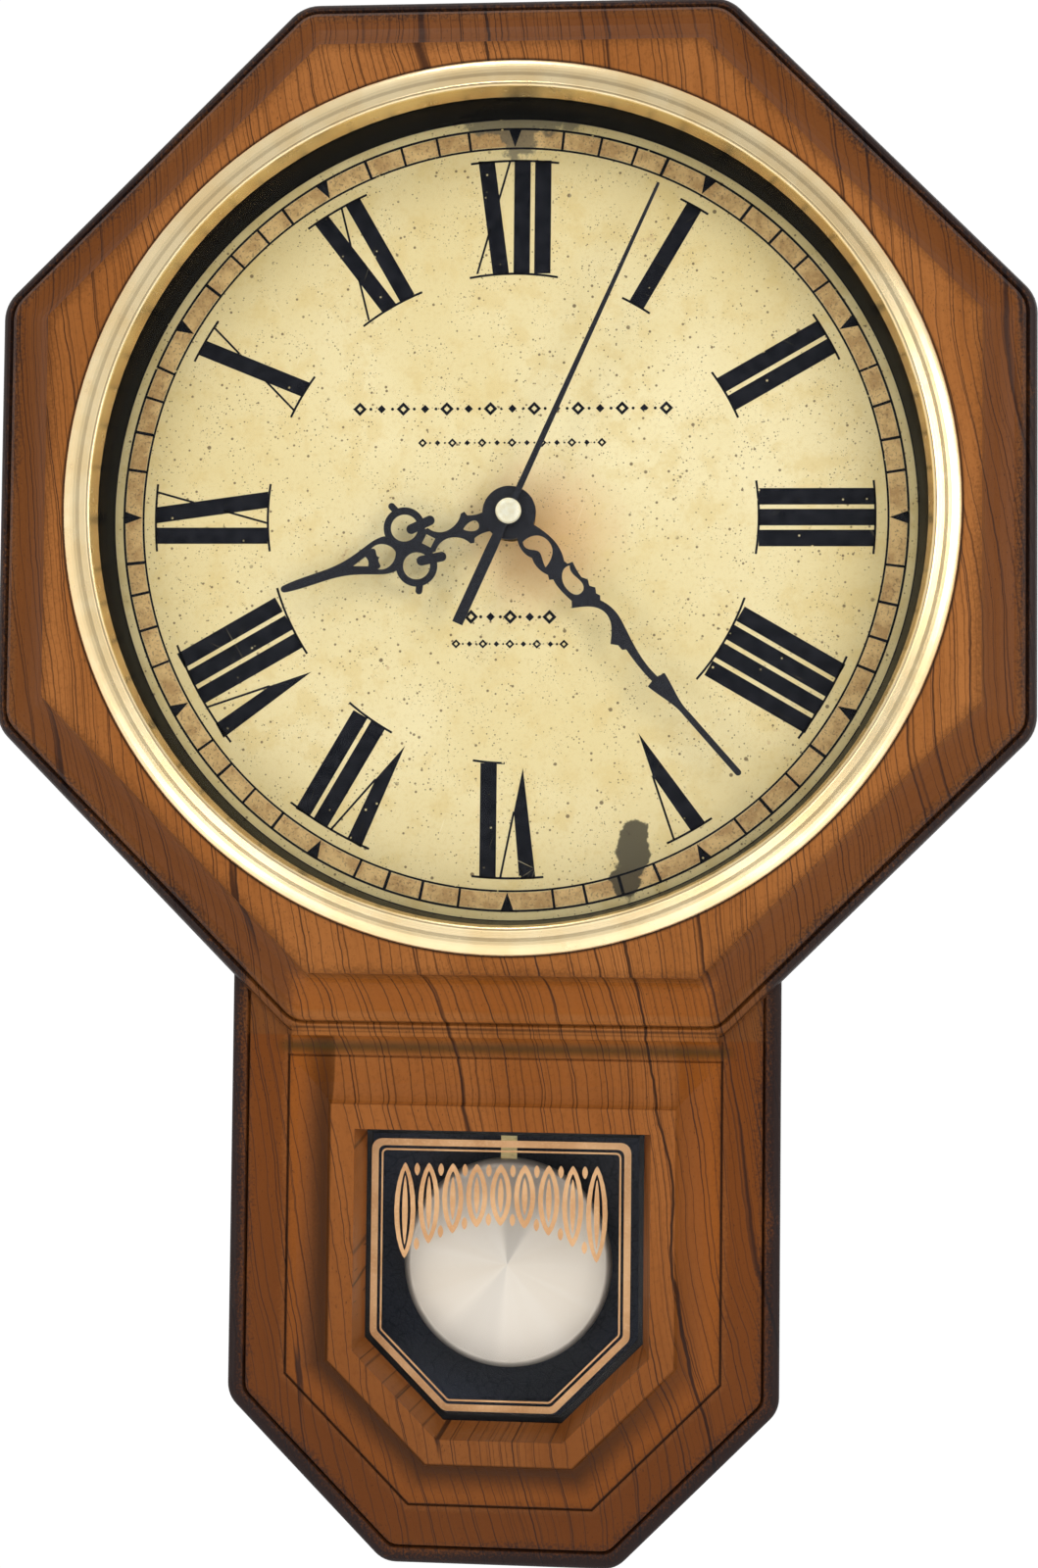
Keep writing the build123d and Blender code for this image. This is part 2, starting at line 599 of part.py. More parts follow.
def make_rear_shell():
    """Rear half of the movement box, with the battery bay, bearings and the pendulum slot."""
    shell = slab(box_outline(0), BOX_BACK, BOX_SPLIT)
    shell -= slab(box_outline(BOX_WALL), BOX_BACK + BOX_PLATE, BOX_SPLIT + 10)
    inside = BOX_BACK + BOX_PLATE
    for x, z in ((0, 0), (INTERMEDIATE_X, 0), (ROTOR_X, ROTOR_Z)):
        shell += disc(2.0, inside - 0.5, 20.0, x, z)
        shell -= disc(ARBOR_R + BEARING_GAP, BLIND_BEARING, 21.0, x, z)
    shell += disc(3.0, inside - 0.5, 22.5, 0, PIVOT_Z)
    shell -= disc(1.0, BLIND_BEARING, 23.0, 0, PIVOT_Z)
    shell -= disc(1.0 + BEARING_GAP, 10, 25, SETTING_X, SETTING_Z)
    for x, z in ((10, -5), (25, 10)):
        shell += disc(1.5, inside - 0.5, 20.8, x, z)
    shell -= block(-27, 27, BATTERY_Z - 8, BATTERY_Z + 8, 10, 20)
    shell -= block(-6, 6, BOX_BOTTOM_Z - 2, BOX_BOTTOM_Z + 3, 22.5, 28)
    return shell


def make_train_plate():
    """Plate between the fast and the slow wheels."""
    plate = slab(Rectangle(58, 50), TRAIN_PLATE_BACK, TRAIN_PLATE_FRONT)
    for x, z in ((0, 0), (INTERMEDIATE_X, 0), (ROTOR_X, ROTOR_Z), (0, THIRD_Z)):
        plate -= disc(ARBOR_R + BEARING_GAP, 20, 40, x, z)
    return plate - disc(1.0 + BEARING_GAP, 20, 40, SETTING_X, SETTING_Z)


def make_rotor():
    """Rotor: a round magnet and an eight-leaf pinion on a thin arbor."""
    rotor = disc(3.0, 22.5, 25.5, ROTOR_X, ROTOR_Z)
    pinion = meshed_gear(ROTOR_TEETH, MOTOR_MODULE, ROTOR_BEARING + 180)
    rotor += slab(Pos(ROTOR_X, ROTOR_Z) * pinion, 25.5, 28.0)
    return rotor + disc(ARBOR_R, 17.3, 30.9, ROTOR_X, ROTOR_Z)


def make_intermediate_wheel():
    """Wheel driven by the rotor, with the pinion that drives the second wheel."""
    wheel = slab(gear(INTERMEDIATE_TEETH, MOTOR_MODULE, ROTOR_BEARING), 26.5, 27.5)
    wheel += slab(meshed_gear(INTERMEDIATE_PINION_TEETH, SECOND_MODULE, 0), 27.5, 29.8)
    wheel += disc(ARBOR_R, 17.3, 30.9)
    return Pos(INTERMEDIATE_X, 0, 0) * wheel


def make_second_wheel():
    """Second wheel with its pinion, on the arbor that carries the second hand."""
    wheel = slab(gear(SECOND_TEETH, SECOND_MODULE, 180), 28.5, 29.5)
    wheel += slab(gear(SECOND_PINION_TEETH, THIRD_MODULE, 90), 31.4, 32.8)
    return wheel + disc(ARBOR_R, 17.3, 55.3)


def make_third_wheel():
    """Third wheel, with the pinion that drives the centre wheel."""
    wheel = slab(meshed_gear(THIRD_TEETH, THIRD_MODULE, -90), 31.6, 32.6)
    wheel += slab(gear(THIRD_PINION_TEETH, CENTRE_MODULE, -90), 32.6, 34.8)
    wheel += disc(ARBOR_R, 30.3, 38.7)
    return Pos(0, 0, THIRD_Z) * wheel


def make_centre_wheel():
    """Centre wheel and its pipe, with the cannon pinion. The pipe carries the minute hand."""
    wheel = slab(meshed_gear(CENTRE_TEETH, CENTRE_MODULE, 90), 33.4, 34.4)
    wheel += slab(gear(CANNON_TEETH, CANNON_MODULE, -90), 36.0, 37.4)
    wheel += disc(MINUTE_PIPE_R, 33.4, 53.0)
    return wheel - disc(ARBOR_R + BEARING_GAP, 20, 60)


def make_minute_wheel():
    """Motion-work wheel on its stud, with the pinion that drives the hour wheel."""
    wheel = slab(meshed_gear(MINUTE_TEETH, CANNON_MODULE, 90), 36.0, 37.4)
    wheel += slab(gear(MINUTE_PINION_TEETH, HOUR_MODULE, 90), 37.4, 39.2)
    wheel -= disc(0.9 + BEARING_GAP, 30, 45)
    return Pos(0, 0, MINUTE_WHEEL_Z) * wheel


def make_hour_wheel():
    """Hour wheel on the pipe that carries the hour hand."""
    wheel = slab(meshed_gear(HOUR_TEETH, HOUR_MODULE, -90), 37.8, 39.2)
    wheel += disc(HOUR_PIPE_R, 37.8, 50.6)
    return wheel - disc(MINUTE_PIPE_R + BEARING_GAP, 30, 60)


def make_setting_knob():
    """Knurled knob behind the movement, with its shaft and the pinion on the minute wheel."""
    partner = SETTING_BEARING + 180
    phase_shift = 180 / MINUTE_TEETH
    minute_phase = 90 + phase_shift
    steps = (SETTING_BEARING - minute_phase) / (360 / MINUTE_TEETH)
    offset = steps - round(steps)
    phase = partner + 180 / SETTING_TEETH + offset * 360 / SETTING_TEETH
    knob = slab(gear(SETTING_TEETH, CANNON_MODULE, phase), 35.8, 37.6)
    knob += disc(1.0, 14.0, 38.4)
    grip = Sketch() + Circle(6.8)
    for k in range(24):
        grip += Rot(0, 0, 15 * k) * Pos(6.8, 0) * Circle(0.45)
    knob += slab(grip, 11.6, 15.6)
    return Pos(SETTING_X, 0, SETTING_Z) * knob


def make_stator():
    """Stator plates round the rotor, bridged by the core of the coil."""
    outline = Pos(-19.1, 10.5) * Rectangle(15.8, 22)
    outline += Pos(-3.5, 19.6) * Rectangle(47, 2.4)
    outline += Pos(18.25, 14.9) * Rectangle(3.5, 11.8)
    outline += Pos(3.0, 10.7) * Rectangle(34, 3.4)
    outline -= Pos(ROTOR_X, ROTOR_Z) * Circle(3.6)
    return slab(outline, 23.4, 24.6)


def make_motor_coil():
    """Wound bobbin on the stator's core."""
    coil = Pos(3, -24, 19.6) * Rot(0, 90, 0) * Cylinder(4.1, 20)
    for x in (-8, 14):
        coil += Pos(x, -24, 19.6) * Rot(0, 90, 0) * Cylinder(4.5, 2)
    return coil - block(-20, 30, 18.4, 20.8, 23.4, 24.6)


def make_battery():
    """AA cell lying across the movement, with its raised terminal."""
    cell = Pos(0, -BATTERY_DEPTH, BATTERY_Z) * Rot(0, 90, 0) * Cylinder(BATTERY_R, 49.2)
    cell = fillet(cell.edges(), 0.6)
    return cell + Pos(24.9, -BATTERY_DEPTH, BATTERY_Z) * Rot(0, 90, 0) * Cylinder(2.7, 2.0)


def make_contacts():
    """Positive contact plate, and the negative plate with its coil spring."""
    positive = block(25.9, 26.5, BATTERY_Z - 6, BATTERY_Z + 6, 19, 31)
    negative = block(-28.2, -27.6, BATTERY_Z - 6, BATTERY_Z + 6, 19, 31)
    for k in range(3):
        coil_x = -27.3 + 1.05 * k
        coil_r = 4.6 - 0.9 * k
        turn = Pos(coil_x, -BATTERY_DEPTH, BATTERY_Z) * Rot(0, 90, 0) * Torus(coil_r, 0.35)
        negative += turn
    spine = block(-27.6, -24.7, BATTERY_Z - 0.3, BATTERY_Z + 0.3, BATTERY_DEPTH + 2.5, BATTERY_DEPTH + 4.9)
    return positive, negative + spine


def make_circuit_board():
    """Small board with its moulded chip."""
    board = block(6, 28, -8, 13, 20.8, 22.0)
    return board + disc(3.2, 21.5, 23.0, 14, 3)


# ---------------------------------------------------------------- pendulum
def make_pendulum_coil():
    """Bobbin that drives the pendulum's magnet."""
    coil = disc(6.0, 28.5, 37.0, 0, PENDULUM_COIL_Z)
    coil += disc(6.8, 28.5, 29.3, 0, PENDULUM_COIL_Z)
    coil += disc(6.8, 36.2, 37.0, 0, PENDULUM_COIL_Z)
    return coil - disc(2.2, 20, 40, 0, PENDULUM_COIL_Z)


def make_pendulum_arm():
    """Swinging arm hung on its pin, with a hook stud for the rod."""
    outline = Pos(0, PIVOT_Z) * Circle(3.8)
    outline += Pos(0, (PIVOT_Z + ROD_TOP_Z - 6) / 2) * Rectangle(5.0, PIVOT_Z - ROD_TOP_Z + 6)
    outline += Pos(0, PENDULUM_COIL_Z) * Circle(4.6)
    outline += Pos(0, ROD_TOP_Z - 6) * Circle(2.5)
    arm = slab(outline, ARM_BACK, ARM_FRONT) - disc(1.06, 20, 30, 0, PIVOT_Z)
    arm += disc(1.0, ROD_BACK - 0.8, ARM_BACK, 0, ROD_TOP_Z - 4)
    return arm + disc(1.6, ROD_BACK - 0.8, ROD_BACK - 0.1, 0, ROD_TOP_Z - 3.6)


def make_pendulum_rod():
    """Brass strip rod that hooks on the arm and runs down into the bob."""
    outline = Pos(0, (ROD_TOP_Z + BOB_Z) / 2) * Rectangle(5.0, ROD_TOP_Z - BOB_Z)
    outline -= Pos(0, ROD_TOP_Z - 4) * Circle(1.0)
    return slab(outline, ROD_BACK, ARM_BACK)


def make_bob():
    """Large spun bob: a shallow dome with a soft rolled edge, slotted behind for the rod."""
    dome_edge = (BOB_DOME_R, BOB_DOME_RISE - BOB_FRONT)
    dome_middle = (BOB_DOME_R / 2, BOB_DOME_RISE / 4 - BOB_FRONT)
    roll = BOB_R - BOB_DOME_R - 0.2
    roll_middle = (BOB_R - 0.3 * roll, dome_edge[1] + 0.3 * roll)
    side = (BOB_R, dome_edge[1] + roll)
    dome = ThreePointArc((0, -BOB_FRONT), dome_middle, dome_edge)
    edge = ThreePointArc(dome_edge, roll_middle, side)
    back = Polyline(side, (BOB_R - 0.9, -BOB_BACK - 0.3), (0, -BOB_BACK), (0, -BOB_FRONT))
    bob = Pos(0, 0, BOB_Z) * revolve(make_face(Curve() + [dome, edge, back]), Axis.Y, 360)
    return bob - block(-2.5, 2.5, BOB_Z, BOB_Z + BOB_R + 5, ROD_BACK, ARM_BACK)


# ---------------------------------------------------------------- write every piece
save("case_front", make_case_front())
save("back_panel", make_back_panel())
back_screws = [flush_screw(x, z, BACK_SCREW_HEAD_R, BACK_SCREW_SHANK_R, 14) for x, z in BACK_SCREW_POINTS]
save("back_screws", *back_screws)
save("hanger_plate", make_hanger_plate())
hanger_screws = [
    flush_screw(x, HANGER_Z, HANGER_SCREW_HEAD_R, HANGER_SCREW_SHANK_R, 7)
    for x in (-HANGER_SCREW_X, HANGER_SCREW_X)
]
save("hanger_screws", *hanger_screws)
save("dial_bezel", make_bezel())
save("dial_lens", disc(LENS_R, LENS_BACK, LENS_FRONT))
save("spacer_ring", make_spacer_ring())
save("dial_plate", make_dial_plate())
dial_screws = [
    pan_screw(DIAL_SCREW_R * cos(radians(a)), DIAL_SCREW_R * sin(radians(a)), DIAL_BACK, 2.8, 1.3, 10)
    for a in DIAL_SCREW_ANGLES
]
save("dial_screws", *dial_screws)
save("window_glass", slab(window_shape(PANE_INSET), WINDOW_SEAT - 2, WINDOW_SEAT))
retainer_frame = window_shape(RETAINER_OUTER_INSET) - window_shape(RETAINER_INNER_INSET)
retainer = slab(retainer_frame, RETAINER_BACK, WINDOW_SEAT - 2)
for screw_x, screw_z in RETAINER_SCREW_POINTS:
    retainer -= disc(1.2, 30, 45, screw_x, screw_z)
save("glass_retainer", retainer)
save("retainer_screws", *[pan_screw(x, z, RETAINER_BACK, 2.1, 1.0, 8) for x, z in RETAINER_SCREW_POINTS])
save("backing_sheet", slab(window_shape(SHEET_INSET), BACK_PANEL, SHEET_FRONT))
save("movement_front_shell", make_front_shell())
save("movement_rear_shell", make_rear_shell())
save("train_plate", make_train_plate())
save("movement_gasket", ring(9.0, BUSH_R + 0.1, BOX_FRONT, DIAL_BACK))
save("dial_washer", ring(7.5, BUSH_R + 0.1, DIAL_FRONT, DIAL_FRONT + 0.5))
save("dial_nut", make_hex_nut())
save("battery", make_battery())
save("battery_contacts", *make_contacts())
save("circuit_board", make_circuit_board())
save("quartz_crystal", Pos(22, -23.3, -1) * Cylinder(1.1, 6.5))
save("motor_coil", make_motor_coil())
save("motor_stator", make_stator())
save("rotor", make_rotor())
save("intermediate_wheel", make_intermediate_wheel())
save("second_wheel", make_second_wheel())
save("third_wheel", make_third_wheel())
save("centre_wheel", make_centre_wheel())
save("minute_wheel", make_minute_wheel())
save("hour_wheel", make_hour_wheel())
save("setting_knob", make_setting_knob())
save("hour_hand", make_hour_hand())
save("minute_hand", make_minute_hand())
save("second_hand", make_second_hand())
save("hand_cap", make_hand_cap())
save("pendulum_coil", make_pendulum_coil())
pin = disc(1.0, BLIND_BEARING, 27.6, 0, PIVOT_Z) + disc(1.8, 26.6, 27.6, 0, PIVOT_Z)
save("pendulum_pivot_pin", pin)
save("pendulum_arm", make_pendulum_arm())
save("arm_magnet", disc(4.0, ARM_FRONT, ARM_FRONT + 2, 0, PENDULUM_COIL_Z))
save("pendulum_rod", make_pendulum_rod())
save("pendulum_bob", make_bob())
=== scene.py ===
import json
import math
import random

import bpy
from mathutils import Matrix, Vector


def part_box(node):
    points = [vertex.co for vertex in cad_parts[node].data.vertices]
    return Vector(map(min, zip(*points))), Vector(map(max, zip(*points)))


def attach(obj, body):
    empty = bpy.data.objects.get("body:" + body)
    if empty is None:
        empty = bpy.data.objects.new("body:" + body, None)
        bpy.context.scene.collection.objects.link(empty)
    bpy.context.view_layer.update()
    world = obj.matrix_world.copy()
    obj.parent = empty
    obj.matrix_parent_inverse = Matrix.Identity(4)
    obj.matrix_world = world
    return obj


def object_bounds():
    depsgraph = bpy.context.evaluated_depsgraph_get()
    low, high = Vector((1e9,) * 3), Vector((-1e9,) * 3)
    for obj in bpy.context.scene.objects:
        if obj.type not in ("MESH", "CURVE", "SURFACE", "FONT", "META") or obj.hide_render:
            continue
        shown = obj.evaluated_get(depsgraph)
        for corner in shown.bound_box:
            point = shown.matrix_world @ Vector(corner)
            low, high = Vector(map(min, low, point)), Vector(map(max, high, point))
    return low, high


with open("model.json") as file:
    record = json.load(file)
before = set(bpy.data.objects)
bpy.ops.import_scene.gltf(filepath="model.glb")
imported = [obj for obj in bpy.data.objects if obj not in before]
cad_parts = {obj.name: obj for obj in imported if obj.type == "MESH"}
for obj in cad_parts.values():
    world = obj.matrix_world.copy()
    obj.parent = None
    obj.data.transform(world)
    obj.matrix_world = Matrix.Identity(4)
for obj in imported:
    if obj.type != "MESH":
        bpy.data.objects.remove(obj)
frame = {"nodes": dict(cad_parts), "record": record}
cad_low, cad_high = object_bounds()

MM = 0.001
random.seed(8)

# ---------------------------------------------------------------- places read from the frame
DIAL_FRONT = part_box("dial_plate")[0].y
GLASS_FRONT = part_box("window_glass")[0].y
CASE_LOW, CASE_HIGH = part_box("case_front")
APOTHEM = CASE_HIGH.x
DROP_BOTTOM = CASE_LOW.z
BOB_LOW, BOB_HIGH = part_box("pendulum_bob")
BOB_Z = (BOB_LOW.z + BOB_HIGH.z) / 2

# Sizes of the drop's front that no box gives: half width, leg of the cut corners, and its hidden top.
DROP_HALF_WIDTH = 82.7 * MM
DROP_CHAMFER = 48.0 * MM
DROP_ROOT = -120.0 * MM


# ---------------------------------------------------------------- shader helpers
class Num:
    """A number worked out by a shader. The usual operators build its math nodes."""

    def __init__(self, paint, socket):
        self.paint = paint
        self.socket = socket

    def op(self, kind, *others, flip=False):
        values = [self, *others]
        if flip:
            values.reverse()
        node = self.paint.node("ShaderNodeMath", operation=kind)
        for slot, value in zip(node.inputs, values):
            self.paint.feed(slot, value)
        return Num(self.paint, node.outputs[0])

    def __add__(self, other):
        return self.op("ADD", other)

    def __radd__(self, other):
        return self.op("ADD", other)

    def __sub__(self, other):
        return self.op("SUBTRACT", other)

    def __rsub__(self, other):
        return self.op("SUBTRACT", other, flip=True)

    def __mul__(self, other):
        return self.op("MULTIPLY", other)

    def __rmul__(self, other):
        return self.op("MULTIPLY", other)

    def __truediv__(self, other):
        return self.op("DIVIDE", other)

    def __abs__(self):
        return self.op("ABSOLUTE")

    def max(self, other):
        return self.op("MAXIMUM", other)

    def min(self, other):
        return self.op("MINIMUM", other)

    def rise(self, low, high):
        """0 below low, 1 above high, smooth between. It falls instead where low is above high."""
        node = self.paint.node("ShaderNodeMapRange", interpolation_type="SMOOTHSTEP")
        start, end = (low, high) if low < high else (high, low)
        for name, value in (("Value", self), ("From Min", start), ("From Max", end)):
            self.paint.feed(node.inputs[name], value)
        result = Num(self.paint, node.outputs[0])
        return result if low < high else 1.0 - result

    def rise_between(self, low, high):
        """As rise, for edges that are shader numbers with low above high."""
        return 1.0 - ((self - high) / (low - high)).max(0.0).min(1.0)

    def near(self, centre, width):
        """1 at centre, falling to 0 at width away."""
        return abs(self - centre).rise(width, 0.0)


class Paint:
    """One material: its node tree and short ways to build it."""

    def __init__(self, name):
        self.material = bpy.data.materials.new(name)
        self.material.use_nodes = True
        self.tree = self.material.node_tree
        self.tree.nodes.clear()
        coordinates = self.node("ShaderNodeTexCoord")
        self.place = coordinates.outputs["Object"]
        split = self.node("ShaderNodeSeparateXYZ")
        self.feed(split.inputs[0], self.place)
        self.x, self.y, self.z = [Num(self, socket) for socket in split.outputs]

    def node(self, kind, **settings):
        node = self.tree.nodes.new(kind)
        for name, value in settings.items():
            setattr(node, name, value)
        return node

    def feed(self, slot, value):
        """Link a socket or number to an input, or set it as a constant."""
        if isinstance(value, Num):
            value = value.socket
        if isinstance(value, bpy.types.NodeSocket):
            self.tree.links.new(value, slot)
        elif isinstance(value, tuple) and len(value) == 3 and slot.type == "RGBA":
            slot.default_value = (*value, 1.0)
        else:
            slot.default_value = value

    def vector(self, x, y, z):
        node = self.node("ShaderNodeCombineXYZ")
        for slot, value in zip(node.inputs, (x, y, z)):
            self.feed(slot, value)
        return node.outputs[0]

    def scaled(self, sx, sy, sz):
        return self.vector(self.x * sx, self.y * sy, self.z * sz)

    def noise(self, where, scale=1.0, detail=3.0, roughness=0.5, distortion=0.0):
        node = self.node("ShaderNodeTexNoise")
        values = {"Vector": where, "Scale": scale, "Detail": detail, "Roughness": roughness}
        for name, value in {**values, "Distortion": distortion}.items():
            self.feed(node.inputs[name], value)
        return Num(self, node.outputs[0])

    def cells(self, where, scale, feature="F1"):
        node = self.node("ShaderNodeTexVoronoi", feature=feature)
        self.feed(node.inputs["Vector"], where)
        self.feed(node.inputs["Scale"], scale)
        return Num(self, node.outputs["Distance"])

    def mix(self, share, first, second):
        node = self.node("ShaderNodeMix", data_type="RGBA")
        for index, value in ((0, share), (6, first), (7, second)):
            self.feed(node.inputs[index], value)
        return node.outputs[2]

    def bump(self, height, distance):
        node = self.node("ShaderNodeBump")
        self.feed(node.inputs["Height"], height)
        self.feed(node.inputs["Distance"], distance)
        self.feed(node.inputs["Strength"], 1.0)
        return node.outputs[0]

    def surface(self, colour, roughness, metallic=0.0, normal=None, **more):
        shader = self.node("ShaderNodeBsdfPrincipled")
        values = {"Base Color": colour, "Roughness": roughness, "Metallic": metallic}
        values.update({name.replace("_", " "): value for name, value in more.items()})
        for name, value in values.items():
            self.feed(shader.inputs[name], value)
        if normal is not None:
            self.feed(shader.inputs["Normal"], normal)
        return self.finish(shader.outputs[0])

    def finish(self, shader):
        output = self.node("ShaderNodeOutputMaterial")
        self.feed(output.inputs["Surface"], shader)
        return self.material


def length2(a, b):
    """Length of a two-part vector of shader numbers."""
    return (a * a + b * b).op("SQRT")


def darker(colour, share):
    return tuple(share * channel for channel in colour)


# ---------------------------------------------------------------- materials
# The grain leans by GRAIN_SLANT, and one dark split runs up the front at SPLIT_PLACE metres across.
GRAIN_SLANT = 0.16
SPLIT_PLACE = 0.025
WOOD_LIGHT = (0.338, 0.124, 0.031)
WOOD_DEEP = (0.262, 0.088, 0.018)
WOOD_LINE = (0.050, 0.016, 0.005)
WOOD_COVE_SHADE = (0.255, 0.065, 0.000)
WOOD_BURNT_AND_SHADE = (0.046, 0.013, 0.003)
WOOD_BLACK = (0.010, 0.007, 0.008)
WOOD_GROOVE_SHADE = (0.014, 0.005, 0.002)


def line_set(p, grain, spacing, wander, width, seed):
    """Dark grain lines about spacing apart, unevenly set, that thin out and fade along their length."""
    uneven = p.noise(p.vector(grain * 70.0, seed, p.z * 1.3), 1.0, 2.0) * wander
    step = grain / spacing + uneven
    body = p.noise(p.vector(grain * 120.0, seed + 2.0, p.z * 26.0), 1.0, 2.0)
    reach = width / spacing * (0.35 + body * 1.3)
    return abs(step.op("FRACT") - 0.5).rise_between(reach * 1.5, reach * 0.4)


def wood_material():
    """Printed wood grain that runs unbroken up the whole front, with burnt outer edges and painted shade
    in its coves, grooves and lower parts.
    """
    p = Paint("case_wood")
    across = p.x - p.y * 0.18
    sway = p.noise(p.vector(across * 7.0, 0.0, p.z * 6.0), 1.0, 2.0)
    wave = p.noise(p.vector(across * 45.0, 3.0, p.z * 60.0), 1.0, 3.0, 0.6)
    grain = across + p.z * GRAIN_SLANT + (sway - 0.5) * 0.034 + (wave - 0.5) * 0.0022

    tone = p.noise(p.vector(grain * 24.0, 1.0, p.z * 1.6), 1.0, 3.0)
    fibre = p.noise(p.vector(grain * 700.0, 7.0, p.z * 30.0), 1.0, 3.0)
    mottle = p.noise(p.scaled(900, 900, 700), 1.0, 3.0, 0.65)
    colour = p.mix(tone.rise(0.34, 0.66), WOOD_DEEP, WOOD_LIGHT)
    colour = p.mix(fibre.rise(0.45, 0.75) * 0.20, colour, (0.075, 0.020, 0.004))
    colour = p.mix(mottle.rise(0.48, 0.72) * 0.26, colour, (0.095, 0.028, 0.006))

    # Insets are distances inwards from the case's outline, as in the case's mouldings.
    side_x, side_z = abs(p.x), abs(p.z)
    octagon_inset = APOTHEM - side_x.max(side_z).max((side_x + side_z) * math.sqrt(0.5))
    corner_x = DROP_HALF_WIDTH - DROP_CHAMFER
    chamfer_inset = (corner_x - side_x + p.z - DROP_BOTTOM) * math.sqrt(0.5)
    drop_inset = (DROP_HALF_WIDTH - side_x).min(p.z - DROP_BOTTOM)
    drop_inset = drop_inset.min(chamfer_inset).min(DROP_ROOT - p.z)
    in_drop = p.z.rise(-0.1575, -0.1585)
    inset = octagon_inset.max(drop_inset)
    spray = p.noise(p.scaled(1300, 1300, 1300), 1.0, 2.0)
    drift = p.noise(p.scaled(22, 22, 22), 1.0, 2.0)
    cloud = (spray - 0.5) * 0.006 + (drift - 0.5) * 0.005

    # Coves painted darker and redder than flats as painted shade; the case's edges and outer coves
    # darker, partly sprayed burnt finish and partly painted shade; the drop, its foot and the window
    # frame's cove darker as painted shade.
    cove = octagon_inset.near(12.4 * MM, 6.6 * MM).rise(0.0, 0.25)
    drop_cove = drop_inset.near(24.0 * MM, 8.4 * MM).max(drop_inset.near(11.0 * MM, 6.2 * MM))
    drop_cove = drop_cove.rise(0.0, 0.25)
    colour = p.mix(cove.max(drop_cove * in_drop) * 0.50, colour, WOOD_COVE_SHADE)
    # Edges and outer coves darker: partly the sprayed burnt finish, partly painted shade.
    edge_tone_and_shade = (inset + cloud + in_drop * 2.5 * MM).rise(23.0 * MM, 17.5 * MM)
    colour = p.mix(edge_tone_and_shade * 0.55, colour, WOOD_BURNT_AND_SHADE)
    # Painted shade: the drop darker and redder than the octagon, as it catches less light.
    colour = p.mix(in_drop * 0.20, colour, (0.160, 0.030, 0.001))
    # Painted shade: darker towards the bottom and a little towards the left, standing in for light
    # falling off.
    lower_falloff_shade = (p.z + p.x * 0.22 + cloud).rise(-0.180, -0.300)
    colour = p.mix(lower_falloff_shade * 0.34, colour, WOOD_BURNT_AND_SHADE)
    # Painted shade in the window frame's cove, stronger on the sides away from the key light.
    frame_cove_shade = (drop_inset + cloud * 0.4).near(29.0 * MM, 9.5 * MM)
    frame_cove_shade = frame_cove_shade * drop_inset.rise(31.9 * MM, 31.2 * MM)
    away_from_key = (p.x * 0.75 + (p.z + 0.225) * 0.65).rise(0.055, -0.030)
    colour = p.mix(frame_cove_shade * in_drop * (0.24 + away_from_key * 0.70), colour, (0.044, 0.012, 0.000))
    # Painted shade in a band under the octagon, where it meets the drop.
    under_octagon_shade = p.z.near(-161.3 * MM, 3.3 * MM) * side_x.rise(0.071, 0.064)
    colour = p.mix(under_octagon_shade * 0.74, colour, (0.032, 0.020, 0.002))

    # Grain lines of three strengths, one split and short pores lie over the finish.
    main = line_set(p, grain, 3.7 * MM, 3.0, 0.16 * MM, 11.0)
    second = line_set(p, grain + 0.0011, 9.5 * MM, 3.0, 0.22 * MM, 23.0)
    faint = line_set(p, grain, 1.9 * MM, 2.6, 0.14 * MM, 41.0)
    grouped = p.noise(p.vector(grain * 60.0, 47.0, p.z * 1.2), 1.0, 2.0).rise(0.44, 0.58)
    split_sway = (p.noise(p.vector(5.0, 9.0, p.z * 17.0), 1.0, 3.0) - 0.5) * 0.012
    split = abs(grain - SPLIT_PLACE + split_sway)
    colour = p.mix(faint * grouped * 0.50, colour, WOOD_LINE)
    colour = p.mix(main * 0.72, colour, WOOD_LINE)
    colour = p.mix(second * 0.85, colour, (0.024, 0.008, 0.004))
    colour = p.mix(split.rise(0.60 * MM, 0.28 * MM) * 0.85, colour, (0.010, 0.004, 0.003))
    pore = p.noise(p.vector(across * 2400.0, 31.0, p.z * 700.0), 1.0, 1.0).rise(0.66, 0.74)
    patch = p.noise(p.vector(across * 30.0, 37.0, p.z * 10.0), 1.0, 2.0).rise(0.36, 0.60)
    colour = p.mix(pore * patch * 0.70, colour, (0.022, 0.008, 0.004))

    # Burnt outer edge; dark lines in the scribed grooves, partly burnt print and partly painted shade;
    # and a painted shadow round the bezel.
    burnt = (inset + cloud * 1.5).rise(8.0 * MM, 2.0 * MM)
    side_wall = p.y.rise(-0.043, -0.026)
    colour = p.mix(burnt * (0.93 - side_wall * 0.50), colour, WOOD_BLACK)
    lower_side = p.z.rise(-0.148, -0.152) * side_x.rise(0.066, 0.062)
    edge_line = octagon_inset.near(1.0 * MM, 0.5 * MM)
    octagon_grooves = octagon_inset.near(4.0 * MM, 0.55 * MM).max(edge_line * 0.8)
    drop_grooves = drop_inset.near(5.1 * MM, 0.8 * MM).max(drop_inset.near(17.55 * MM, 0.75 * MM))
    bead_line = octagon_inset.near(2.1 * MM, 0.75 * MM) * lower_side
    grooves = (octagon_grooves * (1.0 - lower_side * 0.45)).max(drop_grooves * in_drop)
    grooves = grooves.max(bead_line * 0.8)
    # Painted shadow in the gap round the bezel's outer edge.
    bezel_gap_shadow = length2(p.x, p.z).near(132.7 * MM, 0.9 * MM)
    # Dark groove lines: partly burnt print, partly painted shade in the grooves.
    colour = p.mix(grooves * 0.80, colour, WOOD_GROOVE_SHADE)
    colour = p.mix(bezel_gap_shadow * 0.92, colour, (0.006, 0.003, 0.002))

